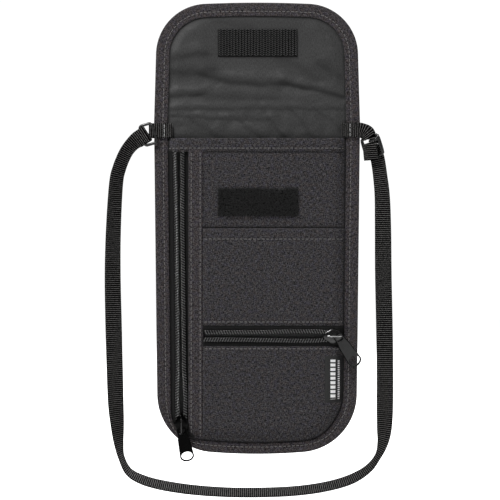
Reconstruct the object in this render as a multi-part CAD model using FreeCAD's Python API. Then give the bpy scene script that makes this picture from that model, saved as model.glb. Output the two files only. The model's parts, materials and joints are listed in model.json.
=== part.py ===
import FreeCAD, Part
import math
import os
from FreeCAD import Placement, Rotation, Vector

# Neck pouch wallet, shown hanging with the flap open.
# X is across the pouch, Z is up, the front faces -Y. The origin is the middle of the back panel's outer face.
# "Depth" below means distance forward of that back face, so depth = -y. All lengths are in mm.

os.makedirs("parts", exist_ok=True)

# ---- pouch outline ----
FOLD_Z = 113.4            # height of the line the flap folds along
HALF_WIDTH = 70.3         # half width at the fold line
BODY_HEIGHT = 226.9       # fold line to the lowest point of the bottom edge
BODY_TAPER = 0.65         # degrees each side leans in towards the bottom
BODY_CORNER_R = 40.0
BODY_END_R = 390.0        # gentle bulge of the bottom edge
FLAP_HEIGHT = 81.2
FLAP_TAPER = 1.6
FLAP_CORNER_R = 35.0
FLAP_END_R = 780.0

# ---- cloth thicknesses and layers ----
CLOTH = 0.6               # binding and hem cloth
BINDING_WIDTH = 9.3
INNER_LEFT_R = 18.0       # tighter inner curve of the binding beside the upright zip's lower end
PANEL_GAP = 0.05          # clearance between neighbouring layers
TUCK = CLOTH + 0.1        # how far panel edges stop short of the binding's outer edge
BACK_PANEL = 1.2
LINING = 0.4
LINING_TOP = 1.65
FOOT_BOTTOM = 1.7         # layer where front pieces are caught under the binding
FOOT_TOP = 2.3
BINDING_TOP = 2.95
FOOT_INSET = 9.4          # where front pieces rise clear of the binding
FRONT_UNDER = 6.1
FRONT_TOP = 6.8
HEM_UNDER = 6.85
HEM_TOP = 7.45
STRIP_TOP = 7.7
POCKET_UNDER = 7.6
POCKET_TOP = 8.3
POCKET_LINING_TOP = 5.9
LABEL_TOP = 8.65
LOOP_TOP = 8.3
HOOK_TOP = 3.2
RISE = 3.1                # plan width of the sloping edge of the raised front pieces

# ---- heights of the front seams ----
MOUTH_Z = 101.7           # top edge of the front, where the passport goes in
HEM_BOTTOM_Z = 92.5
SLIP_TOP_Z = 40.4
WINDOW_TOP_Z = -25.6      # opening for the cross zip
WINDOW_BOTTOM_Z = -39.6

# ---- zip strip beside the upright zip ----
STRIP_LEFT_X = -46.5
STRIP_RIGHT_X = -36.75

# ---- zips ----
ZIP_GAP = 0.9             # half the gap between the two coil rows when open
COIL_WIDTH = 3.2
COIL_HEIGHT = 1.65
TAPE = 0.6
MAIN_ZIP_X = -52.28       # upright zip's centre line at the origin's height
MAIN_TAPE_TOP = 5.0
MAIN_SLIDER_Z = -93.0
CROSS_ZIP_Z = -32.6
CROSS_TAPE_TOP = 7.5
CROSS_SLIDER_X = 51.6
PULLER_LENGTH = 22.0      # crossbar to tip
PULLER_THICK = 1.2
EYE_HALF = 2.6            # half width of the puller's eye
EYE_LENGTH = 3.7
MAIN_PULLER_LEAN = 11.0   # degrees the puller leans to one side of its slider
CROSS_PULLER_LEAN = 57.0

# ---- flap hinge and strap ----
HINGE_DEPTH = 5.8        # the flap turns about this depth, so it closes clear of the front
TAB_WIDTH = 10.0
TAB_BOTTOM = 3.0
TAB_TOP = 4.2
LEFT_TAB_Z = 106.9
RIGHT_TAB_Z = 107.5
TAB_INNER_X = 57.8
WEBBING = 1.0
STRAP_WIDTH = 11.2
BAR_R = 0.9               # bars of the ring and the adjuster
RING_LEAN = 17.0
RING_CENTRE = Vector(-74.1, -5.0, 104.3)
RING_BAR_GAP = 8.4        # between the centres of the two long bars
RING_LONG = 13.8          # between the centres of the two short bars
ADJUSTER_CENTRE = Vector(78.4, -5.0, 96.0)
ADJUSTER_ROLL = 38.0


def save(name, shape):
    """Write one sub-part, merged to a single clean solid."""
    shape = shape.removeSplitter()
    if len(shape.Solids) == 1:
        shape = shape.Solids[0]
    if not shape.isValid() or len(shape.Solids) != 1:
        print("CHECK", name, "valid", shape.isValid(), "solids", len(shape.Solids))
    shape.exportStep("parts/%s.step" % name)


def block(x0, x1, depth0, depth1, z0, z1):
    """Axis-aligned box given by its limits."""
    return Part.makeBox(x1 - x0, depth1 - depth0, z1 - z0, Vector(x0, -depth1, z0))


class Outline:
    """Rounded panel outline that starts at the fold line and runs away from it."""

    def __init__(self, direction, height, taper, corner_r, end_r, inner_left_r=None):
        self.direction = direction
        self.height = height
        self.taper = math.radians(taper)
        self.corner_r = corner_r
        self.end_r = end_r
        self.inner_left_r = inner_left_r

    def side(self, inset, start, corner_r):
        """Start point, side tangent, corner middle and end-arc tangent of the right-hand side."""
        lean = self.taper
        along = Vector(-math.sin(lean), math.cos(lean), 0)
        inward = Vector(-math.cos(lean), -math.sin(lean), 0)
        on_side = Vector(HALF_WIDTH, 0, 0) + inward * inset
        arc_centre = Vector(0, self.height - self.end_r, 0)
        reach = self.end_r - inset - corner_r
        base = on_side + inward * corner_r - arc_centre
        half_b = base.dot(along)
        travel = -half_b + math.sqrt(half_b ** 2 - base.dot(base) + reach ** 2)
        centre = arc_centre + base + along * travel
        tangent = centre - inward * corner_r
        radial = (centre - arc_centre).normalize()
        join = centre + radial * corner_r
        middle = centre + ((radial - inward).normalize()) * corner_r
        first = on_side + along * ((start - on_side.y) / along.y)
        return first, tangent, middle, join

    def wire(self, inset, depth, start=0.0):
        """Closed outline, `inset` in from the outer edge, from `start` below the fold line."""
        right = self.side(inset, start, self.corner_r - inset)
        left_r = self.corner_r - inset
        if self.inner_left_r and inset >= BINDING_WIDTH:
            left_r = self.inner_left_r - (inset - BINDING_WIDTH)
        left = [Vector(-p.x, p.y, 0) for p in self.side(inset, start, left_r)]
        apex = Vector(0, self.height - inset, 0)

        def place(p):
            return Vector(p.x, -depth, FOLD_Z + self.direction * p.y)

        edges = [
            Part.makeLine(place(right[0]), place(right[1])),
            Part.Arc(place(right[1]), place(right[2]), place(right[3])).toShape(),
            Part.Arc(place(right[3]), place(apex), place(left[3])).toShape(),
            Part.Arc(place(left[3]), place(left[2]), place(left[1])).toShape(),
            Part.makeLine(place(left[1]), place(left[0])),
            Part.makeLine(place(left[0]), place(right[0])),
        ]
        return Part.Wire(edges)

    def slab(self, inset, depth0, depth1, start=0.0):
        """Flat sheet of cloth between two depths."""
        face = Part.Face(self.wire(inset, depth0, start))
        return face.extrude(Vector(0, depth0 - depth1, 0))

    def ring(self, inset0, inset1, depth0, depth1):
        """Flat band along the edge, open at the fold line."""
        return self.slab(inset0, depth0, depth1).cut(self.slab(inset1, depth0 - 1, depth1 + 1, -5.0))

    def mound(self, inset0, depth0, inset1, depth1, start=-5.0):
        """Solid that slopes in from one outline to a smaller one further forward."""
        low = self.wire(inset0, depth0, start)
        high = self.wire(inset1, depth1, start)
        return Part.makeLoft([low, high], True, True)


BODY = Outline(-1, BODY_HEIGHT, BODY_TAPER, BODY_CORNER_R, BODY_END_R, INNER_LEFT_R)
FLAP = Outline(1, FLAP_HEIGHT, FLAP_TAPER, FLAP_CORNER_R, FLAP_END_R)


def caught_sheet(under, top, rise=RISE):
    """Raised cloth sheet whose edge slopes down and is caught under the binding."""
    foot = BODY.slab(TUCK, FOOT_BOTTOM, FOOT_TOP)
    outer = BODY.mound(FOOT_INSET, FOOT_TOP - 0.01, FOOT_INSET + rise, top)
    inner = BODY.mound(FOOT_INSET + CLOTH, FOOT_BOTTOM - 0.05, FOOT_INSET + rise + 0.3, under)
    return foot.fuse(outer).cut(inner)


def laid_sheet(under, top, inset_in, rise):
    """Cloth laid over another raised sheet, ending against the binding's inner edge."""
    foot = BINDING_TOP + PANEL_GAP
    outer = BODY.mound(FOOT_INSET - 0.05, foot, FOOT_INSET - 0.05 + rise, top)
    inner = BODY.mound(inset_in, foot - 0.01, inset_in + rise, under)
    return outer.cut(inner)


# ---- back of the pouch and its binding ----
def back_panel():
    middle = BODY.slab(BINDING_WIDTH + 0.05, 0, BACK_PANEL)
    margin = BODY.slab(TUCK, CLOTH + PANEL_GAP, BACK_PANEL)
    return middle.fuse(margin)


def back_lining():
    return BODY.slab(TUCK, LINING_TOP - LINING, LINING_TOP)


def binding(outline, top):
    """U-shaped edge tape: a leg on the back, a leg on the front and the wrap round the edge."""
    back = outline.ring(0, BINDING_WIDTH, 0, CLOTH)
    wrap = outline.ring(0, CLOTH, 0, top)
    front = outline.ring(0, BINDING_WIDTH, top - CLOTH, top)
    return back.fuse(wrap).fuse(front)


# ---- front of the pouch ----
def front_panel():
    """Front cloth: full width above the cross zip, then a column beside the upright zip."""
    sheet = caught_sheet(FRONT_UNDER, FRONT_TOP)
    upper = block(STRIP_LEFT_X + 0.2, 90, 0, 20, WINDOW_TOP_Z, HEM_BOTTOM_Z - 0.1)
    column = block(STRIP_LEFT_X + 0.2, STRIP_RIGHT_X, 0, 20, -150, WINDOW_TOP_Z)
    cloth = sheet.common(upper.fuse(column))
    hem_fold_z = MOUTH_Z - CLOTH
    under_hem = block(STRIP_LEFT_X + 0.2, 90, FRONT_UNDER, FRONT_TOP, HEM_BOTTOM_Z - 1, hem_fold_z)
    cloth = cloth.fuse(under_hem.common(BODY.slab(13.2, 0, 20)))
    turned_edge = block(STRIP_LEFT_X + 0.2, -42.0, MAIN_TAPE_TOP + PANEL_GAP, FRONT_TOP, -150, hem_fold_z)
    return cloth.fuse(turned_edge.common(BODY.slab(13.0, 0, 20)))


def top_hem_band():
    """Folded band over the raw top edge of the front."""
    band = caught_sheet(HEM_UNDER, HEM_TOP).common(block(-90, 90, 0, 20, HEM_BOTTOM_Z, MOUTH_Z))
    fold = block(STRIP_LEFT_X + 0.2, 90, FRONT_UNDER, HEM_TOP, MOUTH_Z - CLOTH + PANEL_GAP, MOUTH_Z)
    return band.fuse(fold.common(BODY.slab(13.2, 0, 20)))


def zip_strip():
    """Double-stitched strip between the upright zip and the pockets."""
    sheet = laid_sheet(HEM_UNDER, STRIP_TOP, 9.8, 2.6)
    return sheet.common(block(STRIP_LEFT_X, STRIP_RIGHT_X, 0, 20, -150, HEM_BOTTOM_Z - 0.1))


def slip_pocket_panel():
    sheet = laid_sheet(POCKET_UNDER, POCKET_TOP, 9.8, 3.0)
    return sheet.common(block(STRIP_RIGHT_X + 0.1, 90, 0, 20, WINDOW_TOP_Z, SLIP_TOP_Z))


def lower_pocket_panel():
    sheet = caught_sheet(POCKET_UNDER, POCKET_TOP, RISE + 0.4)
    return sheet.common(block(STRIP_RIGHT_X + 0.1, 90, 0, 20, -150, WINDOW_BOTTOM_Z))


def pocket_lining():
    """Rear wall of the cross zip's pocket."""
    sheet = BODY.slab(13.6, POCKET_LINING_TOP - 0.3, POCKET_LINING_TOP)
    return sheet.common(block(STRIP_RIGHT_X + 0.5, 90, 0, 20, -150, -14.0))


def loop_patch():
    return block(-26.5, 27.9, FRONT_TOP + PANEL_GAP, LOOP_TOP, 48.8, 67.7)


def woven_label():
    sheet = laid_sheet(POCKET_TOP + PANEL_GAP, LABEL_TOP, 9.75, 3.05)
    return sheet.common(block(45.8, 90, 0, 20, -77.7, -46.2))


# ---- flap ----
def flap_outer():
    middle = FLAP.slab(BINDING_WIDTH + 0.05, 0, BACK_PANEL)
    margin = FLAP.slab(TUCK, CLOTH + PANEL_GAP, BACK_PANEL)
    return middle.fuse(margin)


def flap_lining():
    return FLAP.slab(TUCK, LINING_TOP - LINING, LINING_TOP)


def hook_patch():
    return block(-27.2, 27.9, LINING_TOP + PANEL_GAP, HOOK_TOP, 157.1, 177.0)


# ---- zips ----
def upright(shape):
    """Stand a shape built along local Z on the upright zip's centre line, parallel to the left side."""
    shape = shape.copy()
    shape.Placement = Placement(
        Vector(MAIN_ZIP_X, 0, 0),
        Rotation(Vector(0, 1, 0), -BODY_TAPER),
    ).multiply(shape.Placement)
    return shape


def main_tape(side):
    """Tape of the upright zip, left (-1) or right (+1) of the opening."""
    sheet = caught_sheet(MAIN_TAPE_TOP - TAPE, MAIN_TAPE_TOP, 0.8)
    if side < 0:
        region = upright(block(-30, -0.8, 0, 20, -150, 150))
        return sheet.common(region).common(block(-90, 0, 0, 20, -150, HEM_BOTTOM_Z - 0.1))
    region = upright(block(0.8, 30, 0, 20, -150, 150))
    open_part = block(-90, STRIP_LEFT_X - 0.05, 0, 20, -150, HEM_BOTTOM_Z - 0.1)
    covered = block(STRIP_LEFT_X - 0.1, -40.0, 0, 20, -150, HEM_BOTTOM_Z - 0.1)
    covered = covered.common(BODY.slab(13.2, 0, 20))
    return sheet.common(region).common(open_part.fuse(covered))


def coil_bar(length_from, length_to, side, base):
    """Coil row as a low rounded bar along local Z."""
    near = side * ZIP_GAP
    far = side * (ZIP_GAP + COIL_WIDTH)
    bar = block(min(near, far), max(near, far), base, base + COIL_HEIGHT, length_from, length_to)
    front = [e for e in bar.Edges if abs(e.BoundBox.ZLength - (length_to - length_from)) < 1e-6
             and e.BoundBox.YMin < -base - COIL_HEIGHT / 2]
    return bar.makeFillet(0.6, front)


def main_coil(side):
    bar = upright(coil_bar(-115, HEM_BOTTOM_Z - 0.2, side, MAIN_TAPE_TOP + PANEL_GAP))
    return bar.common(BODY.slab(10.4, 0, 20)).common(block(-90, 0, 0, 20, -150, HEM_BOTTOM_Z - 0.1))


def cross(shape):
    """Lay a shape built along local Z onto the cross zip, so that local Z points to -X and local X to +Z."""
    shape = shape.copy()
    shape.Placement = Placement(
        Vector(0, 0, CROSS_ZIP_Z),
        Rotation(Vector(0, 1, 0), -90),
    ).multiply(shape.Placement)
    return shape


def cross_tape(side):
    """Tape of the cross zip, above (+1) or below (-1) the opening."""
    sheet = caught_sheet(CROSS_TAPE_TOP - TAPE, CROSS_TAPE_TOP, RISE + 0.3)
    inside = BODY.slab(13.4, CROSS_TAPE_TOP - TAPE, CROSS_TAPE_TOP)
    left = STRIP_RIGHT_X + 0.1
    if side > 0:
        shown = block(left, 90, 0, 20, CROSS_ZIP_Z + 0.8, WINDOW_TOP_Z - 0.1)
        hidden = block(left, 90, 0, 20, WINDOW_TOP_Z - 0.2, -18.0)
    else:
        shown = block(left, 90, 0, 20, WINDOW_BOTTOM_Z + 0.1, CROSS_ZIP_Z - 0.8)
        hidden = block(left, 90, 0, 20, -47.0, WINDOW_BOTTOM_Z + 0.2)
    return sheet.common(shown).fuse(inside.common(hidden))


def cross_coil(side):
    bar = coil_bar(-60, -(STRIP_RIGHT_X + 0.2), side, CROSS_TAPE_TOP + PANEL_GAP)
    return cross(bar).common(BODY.slab(13.5, 0, 20))


def teardrop(circles, depth0, depth1):
    """Prism round a row of circles (position, radius) set along local Z."""
    right = []
    for (w0, r0), (w1, r1) in zip(circles, circles[1:]):
        swing = math.asin((r0 - r1) / (w1 - w0))
        right.append((w0 + r0 * math.sin(swing), r0 * math.cos(swing)))
        right.append((w1 + r1 * math.sin(swing), r1 * math.cos(swing)))

    def at(w, u):
        return Vector(u, -depth0, w)

    edges = [Part.Arc(at(right[0][0], -right[0][1]), at(circles[0][0] - circles[0][1], 0),
                      at(right[0][0], right[0][1])).toShape()]
    for side in (1, -1):
        run = []
        for i in range(0, len(right), 2):
            (w_from, u_from), (w_to, u_to) = right[i], right[i + 1]
            run.append(Part.makeLine(at(w_from, side * u_from), at(w_to, side * u_to)))
            if i + 2 < len(right):
                w, r = circles[i // 2 + 1]
                bend = (math.atan2(right[i + 1][1], right[i + 1][0] - w)
                        + math.atan2(right[i + 2][1], right[i + 2][0] - w)) / 2
                run.append(Part.Arc(at(right[i + 1][0], side * right[i + 1][1]),
                                    at(w + r * math.cos(bend), side * r * math.sin(bend)),
                                    at(right[i + 2][0], side * right[i + 2][1])).toShape())
        if side > 0:
            edges.extend(run)
            last_w, last_r = circles[-1]
            edges.append(Part.Arc(at(right[-1][0], right[-1][1]), at(last_w + last_r, 0),
                                  at(right[-1][0], -right[-1][1])).toShape())
        else:
            edges.extend(reversed(run))
    face = Part.Face(Part.Wire(Part.__sortEdges__(edges)))
    return face.extrude(Vector(0, depth0 - depth1, 0))


# Slider, built with its nose (the open end of the zip) at local +Z and its tail at local -Z.
BRIDGE_HALF = 0.6
BRIDGE_LEG = 0.9
BRIDGE_TAIL = 5.25        # centre of the bridge's tail leg, from the slider's middle
PIVOT_FROM_LEG = 2.6      # from the tail leg to where the puller's crossbar passes under the bridge


def slider(tape_top):
    """Slider body: top plate with side guides, narrow bottom plate, divider between them, and the bridge."""
    top = teardrop([(-3.4, 2.8), (0.6, 4.6), (5.0, 1.2)], tape_top + 1.8, tape_top + 2.6)
    bottom = teardrop([(-1.6, 1.8), (1.6, 3.8), (4.6, 1.2)], tape_top - 1.55, tape_top - 0.65)
    divider = block(-0.7, 0.7, tape_top - 0.7, tape_top + 1.85, 1.2, 5.2)
    left_guide = block(-4.6, -4.25, tape_top + 0.15, tape_top + 1.85, -0.6, 1.8)
    right_guide = block(4.25, 4.6, tape_top + 0.15, tape_top + 1.85, -0.6, 1.8)
    shadow = top_shadow(tape_top)
    body = top.fuse([bottom, divider, left_guide.common(shadow), right_guide.common(shadow)])
    half_leg = BRIDGE_LEG / 2
    tail_leg = block(-BRIDGE_HALF, BRIDGE_HALF, tape_top + 2.5, tape_top + 4.8,
                     -BRIDGE_TAIL - half_leg, -BRIDGE_TAIL + half_leg)
    nose_leg = block(-BRIDGE_HALF, BRIDGE_HALF, tape_top + 2.5, tape_top + 4.8, 4.0, 4.0 + BRIDGE_LEG)
    beam = block(-BRIDGE_HALF, BRIDGE_HALF, tape_top + 4.2, tape_top + 4.8,
                 -BRIDGE_TAIL - half_leg, 4.0 + BRIDGE_LEG)
    bridge = tail_leg.fuse([nose_leg, beam])
    corners = [e for e in bridge.Edges if e.BoundBox.XLength > 1.1 and e.BoundBox.YMin < -tape_top - 4.75
               and e.BoundBox.ZLength < 0.01]
    return body.fuse(bridge.makeFillet(0.5, corners))


def top_shadow(tape_top):
    """Outline of the slider's top plate, used to trim its side guides."""
    return teardrop([(-3.4, 2.8), (0.6, 4.6), (5.0, 1.2)], tape_top, tape_top + 2.6)


def puller():
    """Puller with its crossbar at the local origin and the blade hanging towards local -Z."""
    half = PULLER_THICK / 2
    neck = EYE_HALF + 0.6
    crossbar = Part.makeCylinder(half, 2 * neck, Vector(-neck, 0, 0), Vector(1, 0, 0))
    outline = [
        Vector(-neck, -half, 0),
        Vector(neck, -half, 0),
        Vector(neck, -half, -EYE_LENGTH),
        Vector(3.6, -half, -EYE_LENGTH - 1.4),
        Vector(4.5, -half, -PULLER_LENGTH + 4.2),
        Vector(-4.5, -half, -PULLER_LENGTH + 4.2),
        Vector(-3.6, -half, -EYE_LENGTH - 1.4),
        Vector(-neck, -half, -EYE_LENGTH),
        Vector(-neck, -half, 0),
    ]
    blade = Part.Face(Part.makePolygon(outline)).extrude(Vector(0, PULLER_THICK, 0))
    tip = oval(4.5, 3.6, half, -PULLER_LENGTH + 3.6)
    hole = oval(3.8, 2.9, half + 1, -PULLER_LENGTH + 3.6)
    eye = Part.makeBox(2 * EYE_HALF, PULLER_THICK + 2, EYE_LENGTH, Vector(-EYE_HALF, -half - 1, -EYE_LENGTH))
    bar_clear = Part.makeBox(2 * EYE_HALF, PULLER_THICK + 2, half + 1, Vector(-EYE_HALF, -half - 1, -half))
    return blade.cut(bar_clear).fuse(tip).cut(hole).cut(eye).fuse(crossbar)


def oval(half_x, half_z, half_y, centre_z):
    """Upright elliptic plate centred on local X = 0."""
    ellipse = Part.Ellipse(Vector(0, -half_y, centre_z), half_x, half_z)
    ellipse.Axis = Vector(0, 1, 0)
    edge = ellipse.toShape()
    if edge.BoundBox.XLength < edge.BoundBox.ZLength:
        edge.rotate(Vector(0, -half_y, centre_z), Vector(0, 1, 0), 90)
    return Part.Face(Part.Wire(edge)).extrude(Vector(0, 2 * half_y, 0))


def main_slider():
    body = slider(MAIN_TAPE_TOP)
    body.translate(Vector(0, 0, MAIN_SLIDER_Z))
    return upright(body)


def main_puller():
    part = puller()
    part.rotate(Vector(0, 0, 0), Vector(0, 1, 0), -MAIN_PULLER_LEAN)
    part.translate(Vector(0, -MAIN_TAPE_TOP - 3.4, MAIN_SLIDER_Z - BRIDGE_TAIL + PIVOT_FROM_LEG))
    return upright(part)


def cross_slider():
    body = slider(CROSS_TAPE_TOP)
    body.translate(Vector(0, 0, -CROSS_SLIDER_X))
    return cross(body)


def cross_puller():
    """Set slightly off the bridge's line so that the leaning eye still clears the tail leg."""
    offset = 0.4
    lean = math.radians(CROSS_PULLER_LEAN)
    part = puller()
    part.rotate(Vector(0, 0, 0), Vector(0, 1, 0), CROSS_PULLER_LEAN - 90)
    pivot_x = CROSS_SLIDER_X + BRIDGE_TAIL - PIVOT_FROM_LEG + offset * math.sin(lean)
    part.translate(Vector(pivot_x, -CROSS_TAPE_TOP - 3.4, CROSS_ZIP_Z + offset * math.cos(lean)))
    return part


# ---- strap hardware ----
RING_UP = Vector(-math.sin(math.radians(RING_LEAN)), 0, math.cos(math.radians(RING_LEAN)))
RING_OUT = Vector(-math.cos(math.radians(RING_LEAN)), 0, -math.sin(math.radians(RING_LEAN)))


def rod(start, end, radius):
    return Part.makeCylinder(radius, start.distanceToPoint(end), start, end - start)


def sleeve(centre, along, length):
    """Webbing folded round a bar."""
    start = centre - along * (length / 2)
    outer = Part.makeCylinder(BAR_R + PANEL_GAP + WEBBING, length, start, along)
    return outer.cut(Part.makeCylinder(BAR_R + PANEL_GAP, length, start, along))


def strap_ring():
    """Rectangular ring of round wire with rounded corners."""
    corners = []
    for out, up in ((1, 1), (1, -1), (-1, -1), (-1, 1)):
        corners.append(RING_CENTRE + RING_OUT * (out * RING_BAR_GAP / 2) + RING_UP * (up * RING_LONG / 2))
    ring = None
    for i in range(4):
        here = corners[i]
        there = corners[(i + 1) % 4]
        bar = rod(here, there, BAR_R).fuse(Part.makeSphere(BAR_R, here))
        ring = bar if ring is None else ring.fuse(bar)
    return ring


ROLL = math.radians(ADJUSTER_ROLL)
ADJ_UP = RING_UP
ADJ_SIDE = Vector(math.cos(math.radians(RING_LEAN)) * math.cos(ROLL), -math.sin(ROLL),
                  math.sin(math.radians(RING_LEAN)) * math.cos(ROLL))
ADJ_BACK = ADJ_UP.cross(ADJ_SIDE)
ADJ_TURN = Rotation(ADJ_SIDE, ADJ_BACK, ADJ_UP, "ZXY")
TOP_BAR = 7.1
MIDDLE_BAR = 0.4
LOWER_BAR = -7.1


def adjuster_point(side, back, up):
    """Point given in the adjuster's own directions."""
    return ADJUSTER_CENTRE + ADJ_SIDE * side + ADJ_BACK * back + ADJ_UP * up


def strap_adjuster():
    """Three-bar slide the strap threads through."""
    frame = Part.makeBox(14.6, 2 * BAR_R, 16.0, Vector(-7.3, -BAR_R, -8.0))
    frame = frame.makeFillet(0.7, [e for e in frame.Edges if e.BoundBox.YLength > 1.7])
    frame = frame.cut(Part.makeBox(12.0, 4.0, 20.0, Vector(-6.0, -2.0, -10.0)))
    for height in (TOP_BAR, MIDDLE_BAR, LOWER_BAR):
        frame = frame.fuse(Part.makeCylinder(BAR_R, 13.0, Vector(-6.5, 0, height), Vector(1, 0, 0)))
    frame.Placement = Placement(ADJUSTER_CENTRE, ADJ_TURN)
    return frame


# ---- tabs ----
def tab_left():
    """Left tab, sewn flat over the binding. Its outer end is trimmed clear of the loop it turns into."""
    tab = block(-68.6, -TAB_INNER_X, TAB_BOTTOM, TAB_TOP,
                LEFT_TAB_Z - TAB_WIDTH / 2, LEFT_TAB_Z + TAB_WIDTH / 2)
    bar = RING_CENTRE - RING_OUT * (RING_BAR_GAP / 2)
    loop = Part.makeCylinder(BAR_R + WEBBING + 0.25, 30, bar - RING_UP * 15, RING_UP)
    tab = tab.cut(loop)
    solids = sorted(tab.Solids, key=lambda s: s.Volume)
    return solids[-1]


def tab_loop_left():
    bar = RING_CENTRE - RING_OUT * (RING_BAR_GAP / 2)
    return sleeve(bar, RING_UP, TAB_WIDTH - 0.4)


def tab_right():
    return block(TAB_INNER_X, 70.35, TAB_BOTTOM, TAB_TOP,
                 RIGHT_TAB_Z - TAB_WIDTH / 2, RIGHT_TAB_Z + TAB_WIDTH / 2)


def section(centre, width_dir, width, thick_dir, thick):
    """Rectangular webbing section."""
    half_w = width_dir * (width / 2)
    half_t = thick_dir * (thick / 2)
    back = [centre - half_w - half_t, centre + half_w - half_t]
    front = [centre + half_w + half_t, centre - half_w + half_t]
    points = back + front
    return Part.makePolygon(points + [points[0]])


def tab_loop_right():
    """Webbing fanning from the pouch's edge down to the adjuster's top bar, and round it."""
    edge_of_tab = Vector(70.5, -3.6, RIGHT_TAB_Z)
    start = section(edge_of_tab, Vector(0, 0, 1), TAB_WIDTH, Vector(0, -1, 0), WEBBING)
    wrap = BAR_R + PANEL_GAP + WEBBING / 2
    end = section(adjuster_point(0, 0, TOP_BAR + wrap), ADJ_SIDE, TAB_WIDTH, ADJ_BACK * -1, WEBBING)
    fan = Part.makeLoft([start, end], True, True)
    loop = sleeve(adjuster_point(0, 0, TOP_BAR), ADJ_SIDE, TAB_WIDTH)
    bar_clear = rod(adjuster_point(-8, 0, TOP_BAR), adjuster_point(8, 0, TOP_BAR), BAR_R + PANEL_GAP)
    return fan.cut(bar_clear).fuse(loop)


# Strap route from the ring round to the adjuster: (x, z, depth, roll of the webbing in degrees).
STRAP_ROUTE = [
    (-83.9, 98.6, 5.0, 34),
    (-87.9, 94.0, 4.8, 42),
    (-90.9, 88.6, 4.6, 43),
    (-93.6, 81.6, 4.5, 42),
    (-95.6, 73.4, 4.5, 40),
    (-97.0, 55.0, 4.5, 36),
    (-98.0, 30.0, 4.5, 30),
    (-98.2, 5.0, 4.5, 22),
    (-97.6, -25.0, 4.5, 16),
    (-96.8, -55.0, 4.5, 18),
    (-96.1, -78.0, 4.5, 26),
    (-95.0, -94.0, 4.5, 44),
    (-94.0, -106.0, 4.5, 62),
    (-92.2, -115.5, 4.5, 72),
    (-87.7, -124.6, 4.5, 66),
    (-79.6, -129.9, 4.5, 58),
    (-66.0, -134.0, 4.5, 56),
    (-45.0, -137.3, 4.5, 57),
    (-20.0, -139.1, 4.5, 59),
    (5.0, -139.2, 4.5, 60),
    (28.0, -138.0, 4.5, 60),
    (48.0, -135.0, 4.5, 59),
    (64.0, -130.2, 4.5, 58),
    (75.5, -123.2, 4.5, 64),
    (82.2, -114.6, 4.5, 72),
    (85.4, -105.6, 4.5, 56),
    (86.6, -95.0, 4.5, 32),
    (87.0, -78.0, 4.5, 12),
    (87.0, -50.0, 4.5, 5),
    (86.5, -20.0, 4.5, 5),
    (85.9, 10.0, 4.5, 8),
    (85.7, 40.0, 4.3, 18),
    (85.2, 62.0, 4.1, 30),
    (83.8, 76.0, 4.0, 37),
]


def neck_strap():
    """Flat webbing that rolls as it rounds the lower corners."""
    ring_bar = RING_CENTRE + RING_OUT * (RING_BAR_GAP / 2)
    wrap = BAR_R + PANEL_GAP + WEBBING / 2
    first = ring_bar + RING_OUT * (BAR_R + WEBBING + 2 * PANEL_GAP)
    points = [(first, 0.0), (first + RING_OUT * 2.0 + Vector(0, 0, -0.3), 12.0)]
    for x, z, depth, roll in STRAP_ROUTE:
        points.append((Vector(x, -depth, z), roll))
    for up in (-9.6, -5.0, MIDDLE_BAR - 1.8):
        points.append((adjuster_point(0, wrap, up), ADJUSTER_ROLL))
    wires = []
    for i, (point, roll) in enumerate(points):
        before = points[max(i - 1, 0)][0]
        after = points[min(i + 1, len(points) - 1)][0]
        along = (after - before).normalize()
        if i == 0:
            along = RING_OUT
        if i >= len(points) - 2:
            along = ADJ_UP
        flat_out = Vector(0, 1, 0).cross(along).normalize()
        angle = math.radians(roll)
        toward = along.cross(flat_out)
        if toward.y > 0:
            toward = toward * -1
        width_dir = flat_out * math.cos(angle) + toward * math.sin(angle)
        thick_dir = along.cross(width_dir).normalize()
        wires.append(section(point, width_dir, STRAP_WIDTH, thick_dir, WEBBING))
    return Part.makeLoft(wires, True, True)


def strap_end_left():
    """Sewn end of the strap, folded round the ring's outer bar."""
    return sleeve(RING_CENTRE + RING_OUT * (RING_BAR_GAP / 2), RING_UP, STRAP_WIDTH)


def strap_end_right():
    """Far end of the strap, folded round the adjuster's middle bar."""
    return sleeve(adjuster_point(0, 0, MIDDLE_BAR), ADJ_SIDE, STRAP_WIDTH)


save("back_panel", back_panel())
save("back_lining", back_lining())
save("body_binding", binding(BODY, BINDING_TOP))
save("front_panel", front_panel())
save("top_hem_band", top_hem_band())
save("zip_strip", zip_strip())
save("slip_pocket_panel", slip_pocket_panel())
save("lower_pocket_panel", lower_pocket_panel())
save("pocket_lining", pocket_lining())
save("loop_patch", loop_patch())
save("woven_label", woven_label())
save("flap_outer", flap_outer())
save("flap_lining", flap_lining())
save("flap_binding", binding(FLAP, FOOT_TOP))
save("hook_patch", hook_patch())
save("main_zip_tape_left", main_tape(-1))
save("main_zip_tape_right", main_tape(1))
save("main_zip_coil_left", main_coil(-1))
save("main_zip_coil_right", main_coil(1))
save("main_zip_slider", main_slider())
save("main_zip_puller", main_puller())
save("cross_zip_tape_upper", cross_tape(1))
save("cross_zip_tape_lower", cross_tape(-1))
save("cross_zip_coil_upper", cross_coil(1))
save("cross_zip_coil_lower", cross_coil(-1))
save("cross_zip_slider", cross_slider())
save("cross_zip_puller", cross_puller())
save("strap_ring", strap_ring())
save("strap_adjuster", strap_adjuster())
save("tab_left", tab_left())
save("tab_right", tab_right())
save("tab_loop_left", tab_loop_left())
save("tab_loop_right", tab_loop_right())
save("neck_strap", neck_strap())
save("strap_end_left", strap_end_left())
save("strap_end_right", strap_end_right())
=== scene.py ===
import json
import math
import random

import bpy
from mathutils import Matrix, Vector, noise


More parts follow.
